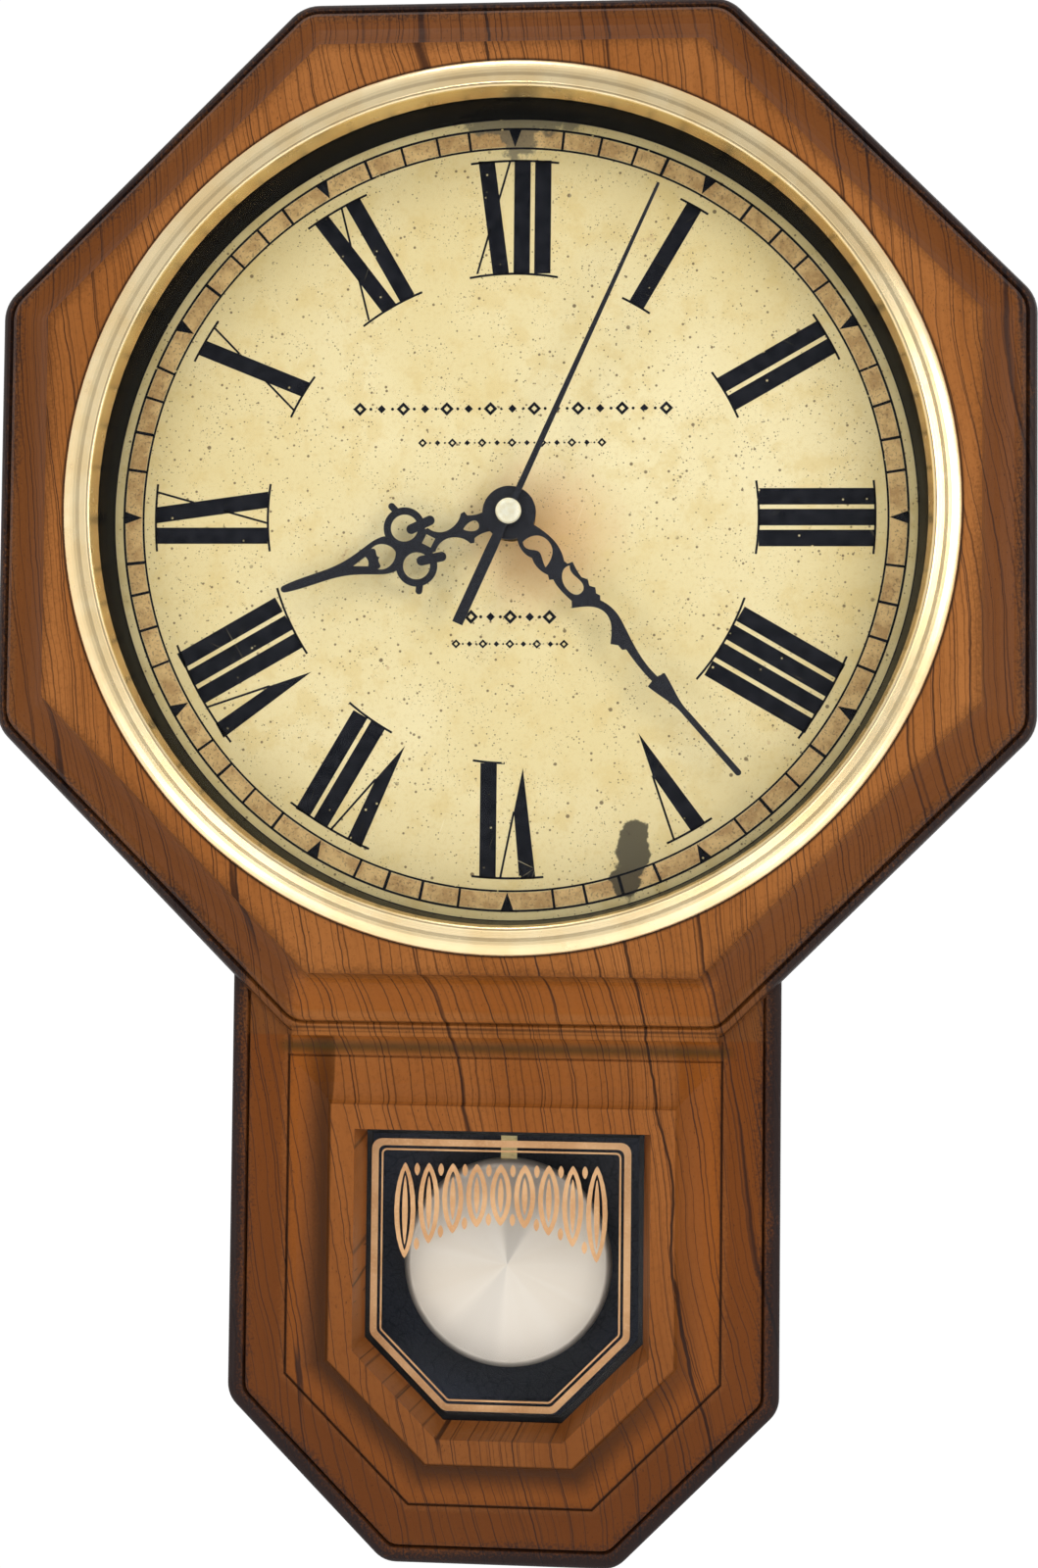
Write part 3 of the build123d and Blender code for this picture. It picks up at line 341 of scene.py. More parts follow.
    roughness = 0.36 + (tone - 0.5) * 0.10 + spray * 0.08
    relief = fibre * 0.25 - main * 0.5 - second * 0.7 - pore * patch * 0.6 + spray * 0.3
    return p.surface(colour, roughness, normal=p.bump(relief, 0.00008), Specular_IOR_Level=0.12)


def gold_material():
    """Bright gold plate, drawn round, with a little haze and handling marks."""
    p = Paint("gold_plate")
    radius = length2(p.x, p.z)
    drawn = p.noise(p.vector(radius * 5200.0, 0.0, p.x * 3.0 + p.z * 4.0), 1.0, 2.0)
    haze = p.noise(p.scaled(60, 60, 60), 1.0, 4.0, 0.6)
    tarnish = p.noise(p.scaled(220, 220, 220), 1.0, 4.0, 0.7).rise(0.60, 0.78)
    colour = p.mix(haze.rise(0.35, 0.65), (0.94, 0.71, 0.38), (0.99, 0.80, 0.48))
    colour = p.mix(tarnish * 0.30, colour, (0.62, 0.42, 0.18))
    roughness = 0.21 + haze * 0.08 + tarnish * 0.12
    return p.surface(colour, roughness, 1.0, p.bump(drawn, 0.000008))


def clear_material(name, tint):
    """Flat clear sheet that mirrors a little and shows faint smears."""
    p = Paint(name)
    smear = p.noise(p.scaled(35, 35, 35), 1.0, 4.0, 0.6, 0.5)
    glossy = p.node("ShaderNodeBsdfGlossy")
    p.feed(glossy.inputs["Roughness"], 0.02 + smear * 0.05)
    clear = p.node("ShaderNodeBsdfTransparent")
    p.feed(clear.inputs["Color"], tint)
    facing = p.node("ShaderNodeLayerWeight")
    facing.inputs["Blend"].default_value = 0.5
    turned_away = Num(p, facing.outputs["Facing"])
    mixed = p.node("ShaderNodeMixShader")
    p.feed(mixed.inputs[0], 0.009 + turned_away.op("POWER", 5.0) * 0.75)
    p.feed(mixed.inputs[1], clear.outputs[0])
    p.feed(mixed.inputs[2], glossy.outputs[0])
    return p.finish(mixed.outputs[0])


# Speck sets: cells per metre, a speck's reach in its cell, and the noise scale and level that thin them.
SPECKS = [
    (1150.0, 0.190, 130.0, 0.50),
    (620.0, 0.180, 150.0, 0.43),
    (300.0, 0.150, 110.0, 0.45),
    (140.0, 0.105, 60.0, 0.50),
]
# Scratch sets: direction in radians and noise seed.
SCRATCHES = [(0.6, 3.0), (2.1, 9.0), (1.25, 15.0), (2.7, 21.0)]


def paper_colours(p):
    """Aged cream dial paper with cloudy patches, foxing and fine scratches, and painted shade round the
    hub and towards the rim.
    """
    cloud = p.noise(p.scaled(16, 16, 16), 1.0, 4.0, 0.55)
    mottle = p.noise(p.scaled(95, 95, 95), 1.0, 5.0, 0.65)
    fine = p.noise(p.scaled(900, 900, 900), 1.0, 3.0, 0.6)
    radius = length2(p.x, p.z)
    colour = p.mix(cloud.rise(0.30, 0.70), (0.735, 0.615, 0.310), (0.815, 0.715, 0.420))
    colour = p.mix(mottle.rise(0.46, 0.66) * 0.50, colour, (0.680, 0.520, 0.210))
    colour = p.mix(fine.rise(0.50, 0.72) * 0.26, colour, (0.60, 0.44, 0.18))
    # Painted shadow of the hub and hands: darker orange-brown below and right of the centre.
    shifted = length2(p.x - 9.0 * MM, p.z + 6.0 * MM)
    hub_shadow = (shifted + (mottle - 0.5) * 0.022).rise(0.032, 0.004)
    colour = p.mix(hub_shadow * 0.62, colour, (0.58, 0.27, 0.075))
    # Darker and yellower towards the rim: partly aged paper, partly painted shade from the bezel.
    rim_tone_and_shade = (radius + (cloud - 0.5) * 0.028).rise(0.072, 0.132)
    colour = p.mix(rim_tone_and_shade * 0.30, colour, (0.570, 0.410, 0.100))
    # Painted shade at the dial's outer edge, under the bezel.
    dial_edge_shade = (radius + (mottle - 0.5) * 0.006).rise(0.1205, 0.1235)
    colour = p.mix(dial_edge_shade * 0.16, colour, (0.20, 0.14, 0.06))
    specks = 0.0
    for scale, reach, gate_scale, gate_level in SPECKS:
        size = p.noise(p.scaled(gate_scale, gate_scale, gate_scale), 1.0, 3.0)
        spot = p.cells(p.scaled(1, 1, 1), scale).rise(reach, reach * 0.65)
        specks = (spot * size.rise(gate_level, gate_level + 0.06)).max(specks)
    colour = p.mix(specks * 0.82, colour, (0.10, 0.055, 0.020))
    blotch = p.noise(p.scaled(52, 52, 52), 1.0, 5.0, 0.7).rise(0.675, 0.715)
    colour = p.mix(blotch * 0.55, colour, (0.52, 0.34, 0.17))
    scratch = 0.0
    for angle, seed in SCRATCHES:
        along = p.x * math.cos(angle) + p.z * math.sin(angle)
        over = p.z * math.cos(angle) - p.x * math.sin(angle)
        streak = p.noise(p.vector(along * 24.0, seed, over * 1900.0), 1.0, 2.0).rise(0.69, 0.75)
        gate = p.noise(p.vector(along * 55.0, seed, over * 55.0), 1.0, 2.0).rise(0.52, 0.64)
        scratch = streak * gate + scratch
    colour = p.mix(scratch.min(1.0) * 0.34, colour, (0.93, 0.86, 0.62))
    return colour, mottle, specks, scratch


def dial_material():
    """Dial: aged paper with a tan minute ring, a dark stain near five and a worn patch at twelve."""
    p = Paint("dial_paper")
    colour, mottle, spots, scratch = paper_colours(p)
    radius = length2(p.x, p.z)
    ring = radius.near(117.1 * MM, 2.95 * MM).rise(0.0, 0.12)
    rub = p.noise(p.scaled(170, 170, 170), 1.0, 5.0, 0.65)
    grit = p.noise(p.scaled(1300, 1300, 1300), 1.0, 2.0)
    tan_tone = p.mix(rub.rise(0.35, 0.65), (0.470, 0.265, 0.092), (0.750, 0.510, 0.215))
    tan_tone = p.mix(grit.rise(0.55, 0.68) * 0.62, tan_tone, (0.13, 0.065, 0.030))
    colour = p.mix(ring * rub.rise(0.18, 0.36) * 0.90, colour, tan_tone)
    ragged = (p.noise(p.scaled(230, 230, 230), 1.0, 4.0, 0.6) - 0.5) * 0.010
    stain = length2((p.x - 38.0 * MM) * 1.9, p.z + 101.5 * MM) + ragged
    stain_foot = length2((p.x - 36.0 * MM) * 1.2, (p.z + 110.0 * MM) * 0.9) + ragged
    worn = length2((p.x - 1.0 * MM) * 1.3, p.z - 117.5 * MM) + ragged * 1.3
    worn_edge = length2((p.x - 2.0 * MM) * 0.32, (p.z - 121.6 * MM) * 1.6) + ragged * 1.2
    worn = worn.rise(0.0082, 0.0062).max(worn_edge.rise(0.0066, 0.0044))
    colour = p.mix(worn * 0.80, colour, (0.130, 0.115, 0.075))
    dark = stain.rise(0.0102, 0.0088).max(stain_foot.rise(0.0062, 0.0048))
    colour = p.mix(dark * 0.94, colour, (0.055, 0.046, 0.024))
    roughness = 0.52 + (mottle - 0.5) * 0.2 - dark * 0.1
    relief = mottle * 0.35 - spots * 0.4 - scratch * 0.5 + dark * 0.4
    return p.surface(colour, roughness, normal=p.bump(relief, 0.00006))


def ink_material():
    """Blue-black print, chipped and scratched so that paper shows through."""
    p = Paint("dial_ink")
    paper, _, _, scratch = paper_colours(p)
    chips = p.cells(p.scaled(1, 1, 1), 380.0)
    chip_size = p.noise(p.scaled(140, 140, 140), 1.0, 3.0)
    bare = chips.rise(0.16, 0.10) * chip_size.rise(0.53, 0.60)
    tone = p.noise(p.scaled(300, 300, 300), 1.0, 3.0)
    ink = p.mix(tone.rise(0.3, 0.7), (0.003, 0.004, 0.007), (0.012, 0.013, 0.018))
    colour = p.mix((bare * 0.80).max(scratch.min(1.0) * 0.40), ink, paper)
    roughness = 0.45 + tone * 0.15
    return p.surface(colour, roughness, normal=p.bump(tone - bare, 0.00003), Specular_IOR_Level=0.06)


def black_gloss_material():
    """Black moulding with a weak shine, dust and a faint orange peel."""
    p = Paint("black_gloss")
    peel = p.noise(p.scaled(420, 420, 420), 1.0, 2.0)
    dust = p.cells(p.scaled(1, 1, 1), 640.0).rise(0.10, 0.05)
    colour = p.mix(dust * 0.35, (0.004, 0.004, 0.004), (0.06, 0.055, 0.045))
    roughness = 0.20 + dust * 0.3 + peel * 0.06
    return p.surface(colour, roughness, normal=p.bump(peel, 0.00001), Specular_IOR_Level=0.01)


def hand_material():
    """Satin black lacquer on stamped steel."""
    p = Paint("hand_black")
    peel = p.noise(p.scaled(900, 900, 900), 1.0, 3.0)
    wear = p.noise(p.scaled(240, 240, 240), 1.0, 4.0, 0.65).rise(0.66, 0.80)
    colour = p.mix(peel.rise(0.3, 0.7), (0.006, 0.007, 0.012), (0.014, 0.016, 0.024))
    colour = p.mix(wear * 0.4, colour, (0.045, 0.047, 0.055))
    return p.surface(colour, 0.38 + wear * 0.2, 0.25, p.bump(peel, 0.00002))


def spun_material():
    """Champagne bob, spun in fine rings, with painted reflections: soft cones of light, a lighter lower
    half and dark wedges.
    """
    p = Paint("bob_metal")
    over_x, over_z = p.x, p.z - BOB_Z
    radius = length2(over_x, over_z)
    rings = p.noise(p.vector(radius * 4200.0, 0.0, 0.0), 1.0, 3.0, 0.6)
    angle = over_z.op("ARCTAN2", over_x)
    # Painted reflections: tone that changes round the centre, as soft cones of light.
    reflection_rays = p.noise(p.vector(angle.op("COSINE") * 1.3, angle.op("SINE") * 1.3, 2.0), 1.0, 3.0)
    # Painted shade on the upper half and painted light on the lower half.
    falls = (0.0 - over_z / radius.max(0.001)).rise(-0.95, 0.35)
    # Painted reflections of dark surroundings: a dark wedge up and right of the centre, a fainter one
    # down and left.
    upper_reflection_wedge = (angle - math.radians(78.0)).op("COSINE").rise(0.90, 0.995)
    lower_reflection_wedge = (angle + math.radians(114.0)).op("COSINE").rise(0.92, 0.995)
    haze = p.noise(p.scaled(40, 40, 40), 1.0, 4.0)
    colour = p.mix(reflection_rays.rise(0.30, 0.70), (0.89, 0.79, 0.66), (0.97, 0.89, 0.78))
    colour = p.mix(falls, p.mix(0.16, colour, (0.60, 0.56, 0.52)), colour)
    for wedge, share in ((upper_reflection_wedge, 0.42), (lower_reflection_wedge, 0.16)):
        colour = p.mix(wedge * share, colour, (0.34, 0.31, 0.28))
    colour = p.mix(rings.rise(0.35, 0.65) * 0.12, colour, (0.48, 0.44, 0.39))
    speck = p.cells(p.scaled(1, 1, 1), 260.0).rise(0.045, 0.02)
    colour = p.mix(speck * 0.4, colour, (0.25, 0.22, 0.18))
    roughness = 0.34 + rings * 0.10 + haze * 0.08
    return p.surface(colour, roughness, 0.60, p.bump(rings, 0.000006))


def brushed_material(name, dark, light, roughness, metallic=1.0, grain=(900, 900, 60)):
    """Metal brushed along one direction, with small scuffs."""
    p = Paint(name)
    brush = p.noise(p.scaled(*grain), 1.0, 3.0, 0.6)
    scuff = p.noise(p.scaled(260, 260, 260), 1.0, 4.0, 0.7).rise(0.60, 0.76)
    colour = p.mix(brush.rise(0.30, 0.70), dark, light)
    colour = p.mix(scuff * 0.35, colour, darker(dark, 0.45))
    return p.surface(colour, roughness + scuff * 0.18, metallic, p.bump(brush, 0.00002))


def moulded_material(name, dark, light, roughness, texture=500):
    """Moulded plastic or rubber with a fine spark texture, dust and rub marks."""
    p = Paint(name)
    spark = p.noise(p.scaled(texture, texture, texture), 1.0, 3.0, 0.6)
    cloud = p.noise(p.scaled(30, 30, 30), 1.0, 3.0)
    rub = p.noise(p.scaled(120, 120, 120), 1.0, 5.0, 0.7).rise(0.60, 0.78)
    colour = p.mix(cloud.rise(0.30, 0.70), dark, light)
    colour = p.mix(rub * 0.30, colour, tuple(min(1.0, 1.5 * channel + 0.02) for channel in light))
    return p.surface(colour, roughness + rub * 0.12, normal=p.bump(spark, 0.00004))


def hardboard_material():
    """Dark pressed board with fibres."""
    p = Paint("back_board")
    fibre_a = p.noise(p.scaled(260, 260, 900), 1.0, 4.0, 0.7)
    fibre_b = p.noise(p.scaled(900, 260, 260), 1.0, 4.0, 0.7)
    cloud = p.noise(p.scaled(18, 18, 18), 1.0, 4.0)
    fibres = fibre_a.max(fibre_b)
    colour = p.mix(cloud.rise(0.30, 0.70), (0.060, 0.036, 0.022), (0.105, 0.066, 0.040))
    colour = p.mix(fibres.rise(0.52, 0.70) * 0.55, colour, (0.19, 0.125, 0.075))
    scuff = p.noise(p.scaled(70, 70, 70), 1.0, 5.0, 0.7).rise(0.64, 0.76)
    colour = p.mix(scuff * 0.35, colour, (0.26, 0.19, 0.13))
    return p.surface(colour, 0.72 - scuff * 0.1, normal=p.bump(fibres, 0.00012))


def grained_sheet_material():
    """Blue-black vinyl with a leather grain."""
    p = Paint("grained_sheet")
    warp = p.noise(p.scaled(60, 60, 60), 1.0, 3.0)
    where = p.vector(p.x + (warp - 0.5) * 0.006, p.y, p.z + (warp - 0.5) * 0.006)
    pebble = p.cells(where, 620.0, "DISTANCE_TO_EDGE")
    crease = p.cells(where, 190.0, "DISTANCE_TO_EDGE")
    height = pebble.rise(0.0, 0.22) * 0.6 + crease.rise(0.0, 0.10) * 0.5
    # Painted shade: creases darker, pebble tops lighter.
    colour = p.mix(height.rise(0.1, 0.9), (0.046, 0.057, 0.088), (0.076, 0.090, 0.134))
    return p.surface(colour, 0.42 - height * 0.12, normal=p.bump(height, 0.00004))


def copper_print_material():
    """Metallic copper-gold print on the window."""
    p = Paint("window_print")
    grain = p.noise(p.scaled(1500, 1500, 1500), 1.0, 3.0)
    patch = p.noise(p.scaled(90, 90, 90), 1.0, 3.0)
    colour = p.mix(patch.rise(0.3, 0.7), (0.64, 0.34, 0.15), (0.80, 0.48, 0.24))
    colour = p.mix(grain.rise(0.5, 0.7) * 0.3, colour, (0.90, 0.62, 0.36))
    return p.surface(colour, 0.36 + grain * 0.1, 0.55, p.bump(grain, 0.000008))


def winding_material():
    """Enamelled copper wire, wound close."""
    p = Paint("copper_winding")
    turns = (p.x * 18000.0 + p.y * 18000.0).op("SINE") * 0.5 + 0.5
    tone = p.noise(p.scaled(200, 200, 200), 1.0, 3.0)
    # Painted highlight and shade: each turn lighter on its crest and darker between turns.
    colour = p.mix(turns, (0.20, 0.055, 0.020), (0.62, 0.24, 0.09))
    colour = p.mix(tone.rise(0.55, 0.75) * 0.4, colour, (0.30, 0.09, 0.03))
    return p.surface(colour, 0.30, 0.7, p.bump(turns, 0.00005))


def battery_material():
    """Plain two-colour cell jacket: copper end, black body and a bright terminal."""
    p = Paint("battery_jacket")
    scuff = p.noise(p.scaled(240, 240, 240), 1.0, 4.0, 0.7).rise(0.58, 0.74)
    body = p.mix(p.x.rise(0.0125, 0.0128), (0.020, 0.020, 0.024), (0.52, 0.24, 0.10))
    ends = p.x.rise(0.0243, 0.0245).max(p.x.rise(-0.0243, -0.0245))
    colour = p.mix(ends, body, (0.62, 0.60, 0.56))
    colour = p.mix(scuff * 0.3, colour, (0.30, 0.28, 0.26))
    fine = p.noise(p.scaled(900, 900, 900), 1.0, 2.0)
    return p.surface(colour, 0.26 + scuff * 0.2, 0.45, p.bump(fine, 0.00001))


def board_material():
    """Circuit board: green mask with bright tracks."""
    p = Paint("board_green")
    track_x = abs((p.x * 420.0).op("FRACT") - 0.5).rise(0.10, 0.06)
    track_z = abs((p.z * 380.0).op("FRACT") - 0.5).rise(0.10, 0.06)
    gate = p.noise(p.scaled(150, 150, 150), 1.0, 2.0)
    tracks = (track_x * gate.rise(0.48, 0.52)).max(track_z * gate.rise(0.52, 0.48))
    colour = p.mix(tracks, (0.010, 0.085, 0.030), (0.03, 0.19, 0.07))
    mottle = p.noise(p.scaled(800, 800, 800), 1.0, 3.0)
    colour = p.mix(mottle.rise(0.5, 0.8) * 0.2, colour, (0.01, 0.05, 0.02))
    return p.surface(colour, 0.35, normal=p.bump(tracks, 0.00004))


# Slot: darker and lighter colour, roughness, and where it matters metallic share and brushing.
BRUSHED = {
    "zinc_screws": ((0.42, 0.42, 0.41), (0.66, 0.66, 0.64), 0.32),
    "zinc_plate": ((0.46, 0.46, 0.45), (0.68, 0.68, 0.66), 0.34, 1.0, (60, 900, 900)),
    "brass_fitting": ((0.62, 0.42, 0.16), (0.84, 0.62, 0.30), 0.28),
    "cap_brass": ((0.90, 0.84, 0.60), (0.98, 0.95, 0.76), 0.30, 0.4, (700, 700, 700)),
    "rod_brass": ((0.90, 0.68, 0.26), (0.99, 0.86, 0.46), 0.30, 0.40, (120, 900, 1600)),
    "magnet_grey": ((0.20, 0.20, 0.22), (0.36, 0.36, 0.38), 0.3),
}
# Slot: darker and lighter colour, roughness, and texture scale where it isn't the usual one.
MOULDED = {
    "black_plastic": ((0.012, 0.012, 0.013), (0.022, 0.022, 0.024), 0.5),
    "movement_plastic": ((0.016, 0.016, 0.018), (0.030, 0.030, 0.033), 0.46),
    "rubber_ring": ((0.010, 0.010, 0.010), (0.022, 0.021, 0.020), 0.75),
    "gear_plastic": ((0.60, 0.57, 0.50), (0.76, 0.73, 0.66), 0.40, 300),
}
MATERIALS = {
    "case_wood": wood_material(),
    "back_board": hardboard_material(),
    "gold_plate": gold_material(),
    "clear_lens": clear_material("clear_lens", (0.997, 0.997, 0.995)),
    "black_gloss": black_gloss_material(),
    "dial_paper": dial_material(),
    "window_pane": clear_material("window_pane", (0.985, 0.988, 0.99)),
    "grained_sheet": grained_sheet_material(),
    "battery_jacket": battery_material(),
    "board_green": board_material(),
    "copper_winding": winding_material(),
    "hand_black": hand_material(),
    "bob_metal": spun_material(),
}
MATERIALS.update({name: brushed_material(name, *look) for name, look in BRUSHED.items()})
MATERIALS.update({name: moulded_material(name, *look) for name, look in MOULDED.items()})
INK = ink_material()
COPPER = copper_print_material()


def dress_cad_nodes():
    """Give every CAD node its own slot's material."""
    for subpart in frame["record"]["subparts"]:
        mesh = frame["nodes"][subpart["node"]].data
        mesh.materials.clear()
        mesh.materials.append(MATERIALS[subpart["material_slot"]])


# ---------------------------------------------------------------- flat printed pieces
PRINT_THICKNESS = 0.05 * MM


def polar(radius, degrees):
    """Point on the dial, with the angle clockwise from twelve."""
    angle = math.radians(degrees)
    return radius * math.sin(angle), radius * math.cos(angle)


class Print:
    """Thin closed shapes that lie on a face and point towards the room."""

    def __init__(self, name, back):
        self.name = name
        self.back = back
        self.front = back - PRINT_THICKNESS
        self.verts = []
        self.faces = []

    def shape(self, points):
        """Closed prism with the given outline of (x, z) points, in clockwise or anticlockwise order."""
        area = sum(a[0] * b[1] - b[0] * a[1] for a, b in zip(points, points[1:] + points[:1]))
        loop = points if area > 0 else points[::-1]
        start, count = len(self.verts), len(loop)
        self.verts += [(x, self.front, z) for x, z in loop]
        self.verts += [(x, self.back, z) for x, z in loop]
        self.faces.append(tuple(range(start, start + count)))
        self.faces.append(tuple(range(start + 2 * count - 1, start + count - 1, -1)))
        for i in range(count):
            j = (i + 1) % count
            self.faces.append((start + j, start + i, start + count + i, start + count + j))

    def frame(self, outer, inner):
        """Closed band between two outlines with the same number of points, both anticlockwise."""
        start, count = len(self.verts), len(outer)
        for y, loop in ((self.front, outer), (self.front, inner), (self.back, outer), (self.back, inner)):
            self.verts += [(x, y, z) for x, z in loop]
        for i in range(count):
            j = (i + 1) % count
            a, b, c, d = [start + k * count for k in range(4)]
            self.faces.append((a + i, a + j, b + j, b + i))
            self.faces.append((c + j, c + i, d + i, d + j))
            self.faces.append((a + j, a + i, c + i, c + j))
            self.faces.append((b + i, b + j, d + j, d + i))

    def ring(self, radius, width, count=256):
        """Thin circle round the dial's axis."""
        angles = [-360.0 * k / count for k in range(count)]
        outer = [polar(radius + width / 2, a) for a in angles]
        inner = [polar(radius - width / 2, a) for a in angles]
        self.frame(outer, inner)

    def build(self, body, material):
        mesh = bpy.data.meshes.new(self.name)
        mesh.from_pydata(self.verts, [], self.faces)
        mesh.validate()
        mesh.materials.append(material)
        piece = bpy.data.objects.new(self.name, mesh)
        bpy.context.scene.collection.objects.link(piece)
        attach(piece, body)


def rounded(points, radius, steps=5):
    """Outline with its corners rounded. The points run anticlockwise."""
    result = []
    count = len(points)
    for i in range(count):
        before, corner, after = [Vector(points[(i + k) % count]) for k in (-1, 0, 1)]
        to_before, to_after = (before - corner).normalized(), (after - corner).normalized()
        half_turn = to_before.angle(to_after) / 2
        centre = corner + (to_before + to_after).normalized() * radius / math.sin(half_turn)
        start = corner + to_before * radius / math.tan(half_turn) - centre
        sweep = math.pi - 2 * half_turn
        for k in range(steps + 1):
            spoke = start.copy()
            spoke.rotate(Matrix.Rotation(sweep * k / steps, 2))
            result.append(tuple(centre + spoke))
    return result


# ---------------------------------------------------------------- dial printing
NUMERAL_LOW = 75.2 * MM
NUMERAL_HIGH = 110.2 * MM
NUMERAL_SPAN = NUMERAL_HIGH - NUMERAL_LOW
BAR = 5.0 * MM
HAIR = 0.66 * MM
SERIF = 0.68 * MM
LETTER_GAP = 1.35 * MM
OVERHANG = 2.4 * MM
RING_OUTER = 120.1 * MM
RING_INNER = 114.1 * MM
LETTER_WIDTHS = {"I": BAR, "V": 10.8 * MM, "X": 9.8 * MM}
NUMERALS = ["XII", "I", "II", "III", "IIII", "V", "VI", "VII", "VIII", "IX", "X", "XI"]

# Minutes after each hour mark where the hand-drawn, uneven ticks stand.
TICK_MINUTES = [1.2, 2.15, 3.05, 3.85]

# Name, height on the dial, height of the row, its half width and its number of lozenges.
DIAL_ORNAMENTS = [
    ("dial_band_upper", 33.5 * MM, 4.2 * MM, 47.0 * MM, 15),
    ("dial_band_upper_small", 23.0 * MM, 2.8 * MM, 27.5 * MM, 13),
    ("dial_band_lower", -30.5 * MM, 4.4 * MM, 12.0 * MM, 5),
    ("dial_band_lower_small", -38.8 * MM, 2.8 * MM, 16.5 * MM, 9),
]


def bent(points, hour_angle):
    """Put a numeral's flat (across, up) points on the dial, with its top outwards."""
    right, up = Vector(polar(1, hour_angle + 90)), Vector(polar(1, hour_angle))
    return [tuple(right * across + up * height) for across, height in points]


def stroke(ink, hour_angle, foot, head, width, low=0.0, high=1.0):
    """Straight stroke between two heights: foot and head are its middles across at the numeral's ends."""
    points = []
    for share, side in ((low, -1), (low, 1), (high, 1), (high, -1)):
        middle = foot + (head - foot) * share
        points.append((middle + side * width / 2, NUMERAL_LOW + NUMERAL_SPAN * share))
    ink.shape(bent(points, hour_angle))


def letter(ink, kind, middle, hour_angle):
    """One Roman numeral letter centred across at middle."""
    half = LETTER_WIDTHS[kind] / 2
    if kind == "I":
        stroke(ink, hour_angle, middle, middle, BAR)
    elif kind == "X":
        stroke(ink, hour_angle, middle + half - BAR / 2, middle - half + BAR / 2, BAR)
        stroke(ink, hour_angle, middle - half, middle + half, HAIR, 0.0, 0.40)
        stroke(ink, hour_angle, middle - half, middle + half, HAIR, 0.66, 1.0)
    else:
        apex_share, join_share = 0.04, 0.42
        apex = middle - half + 4.2 * MM
        slope = (middle - half - apex) / (1 - apex_share)
        join_outer = apex + slope * (join_share - apex_share)
        hair_slope = (middle + half - apex) / (1 - apex_share)
        join_inner = apex + hair_slope * (join_share - apex_share)
        blade = [
            (apex, NUMERAL_LOW + NUMERAL_SPAN * apex_share),
            (join_inner, NUMERAL_LOW + NUMERAL_SPAN * join_share),
            (middle - half + BAR, NUMERAL_HIGH),
            (middle - half, NUMERAL_HIGH),
            (join_outer, NUMERAL_LOW + NUMERAL_SPAN * join_share),
        ]
        ink.shape(bent(blade, hour_angle))
        foot = apex - hair_slope * apex_share
        stroke(ink, hour_angle, foot, middle + half, HAIR, join_share, 1.0)


def serif(ink, hour_angle, radius, low, high):
    """Hairline arc across a numeral's foot or head."""
    steps = 8
    spans = [low + (high - low) * k / steps for k in range(steps + 1)]
    angles = [hour_angle + math.degrees(span / radius) for span in spans]
    outer = [polar(radius + SERIF / 2, a) for a in angles]
    inner = [polar(radius - SERIF / 2, a) for a in angles]
    ink.shape(outer + inner[::-1])


def make_dial_print():
    """Numerals, minute ring with its ticks and five-minute wedges, and bands of lozenges."""
    ink = Print("dial_numerals", DIAL_FRONT)
    for hour, numeral in enumerate(NUMERALS):
        hour_angle = 30.0 * hour
        widths = [LETTER_WIDTHS[kind] for kind in numeral]
        total = sum(widths) + LETTER_GAP * (len(numeral) - 1)
        left = -total / 2
        foot_low, foot_high = None, None
        for kind, width in zip(numeral, widths):
            letter(ink, kind, left + width / 2, hour_angle)
            if kind != "V":
                foot_low = left if foot_low is None else foot_low
                foot_high = left + width
            left += width + LETTER_GAP
        serif(ink, hour_angle, NUMERAL_HIGH, -total / 2 - OVERHANG, total / 2 + OVERHANG)
        if foot_low is not None:
            serif(ink, hour_angle, NUMERAL_LOW, foot_low - OVERHANG, foot_high + OVERHANG)
    ink.build("case", INK)

    ring = Print("dial_minute_ring", DIAL_FRONT)
    ring.ring(RING_OUTER, 0.70 * MM)
    ring.ring(RING_INNER, 0.62 * MM)
    ring.ring(RING_OUTER + 3.0 * MM, 0.30 * MM)
    for hour in range(12):
        hour_angle = 30.0 * hour
        wedge = [polar(RING_INNER + 0.4 * MM, hour_angle)]
        wedge += [polar(RING_OUTER, hour_angle + side) for side in (-0.95, 0.95)]
        ring.shape(wedge)
        for minute in TICK_MINUTES:
            angle = hour_angle + 6.0 * minute
            half = random.uniform(0.18, 0.25)
            lean = random.uniform(-0.10, 0.10)
            tick = [polar(RING_INNER, angle - half + lean), polar(RING_INNER, angle + half + lean)]
            tick += [polar(RING_OUTER, angle + half), polar(RING_OUTER, angle - half)]
            ring.shape(tick)
    ring.build("case", INK)
    for name, height, tall, reach, count in DIAL_ORNAMENTS:
        make_ornament(name, height, tall, reach, count)


def make_ornament(name, height, tall, reach, count):
    """Printed band of lozenges with a dot between each two, the same on both sides."""
    ink = Print(name, DIAL_FRONT)
    step = 2 * reach / (count - 1)
    wide = min(0.36 * step, 0.5 * tall)
    for k in range(count):
        x = -reach + step * k
        size = 1.0 if k % 2 == 0 else 0.62
        diamond = [(wide, 0.0), (0.0, 0.5 * tall), (-wide, 0.0), (0.0, -0.5 * tall)]
        outer = [(x + across * size, height + up * size) for across, up in diamond]
        inner = [(x + across * size * 0.42, height + up * size * 0.42) for across, up in diamond]
        if k % 2 == 0:
            ink.frame(outer, inner)
        else:
            ink.shape(outer)
        if k < count - 1:
            circle = [polar(0.11 * tall, 30.0 * a) for a in range(12)]
            ink.shape([(x + step / 2 + across, height + up) for across, up in circle])
    ink.build("case", INK)


# ---------------------------------------------------------------- window printing
# The window's outlines are insets from the drop's; its top edge lies at WINDOW_TOP_OFFSET less the inset.
BORDER_SHIFT = -1.2 * MM
WINDOW_TOP_OFFSET = -146.6 * MM
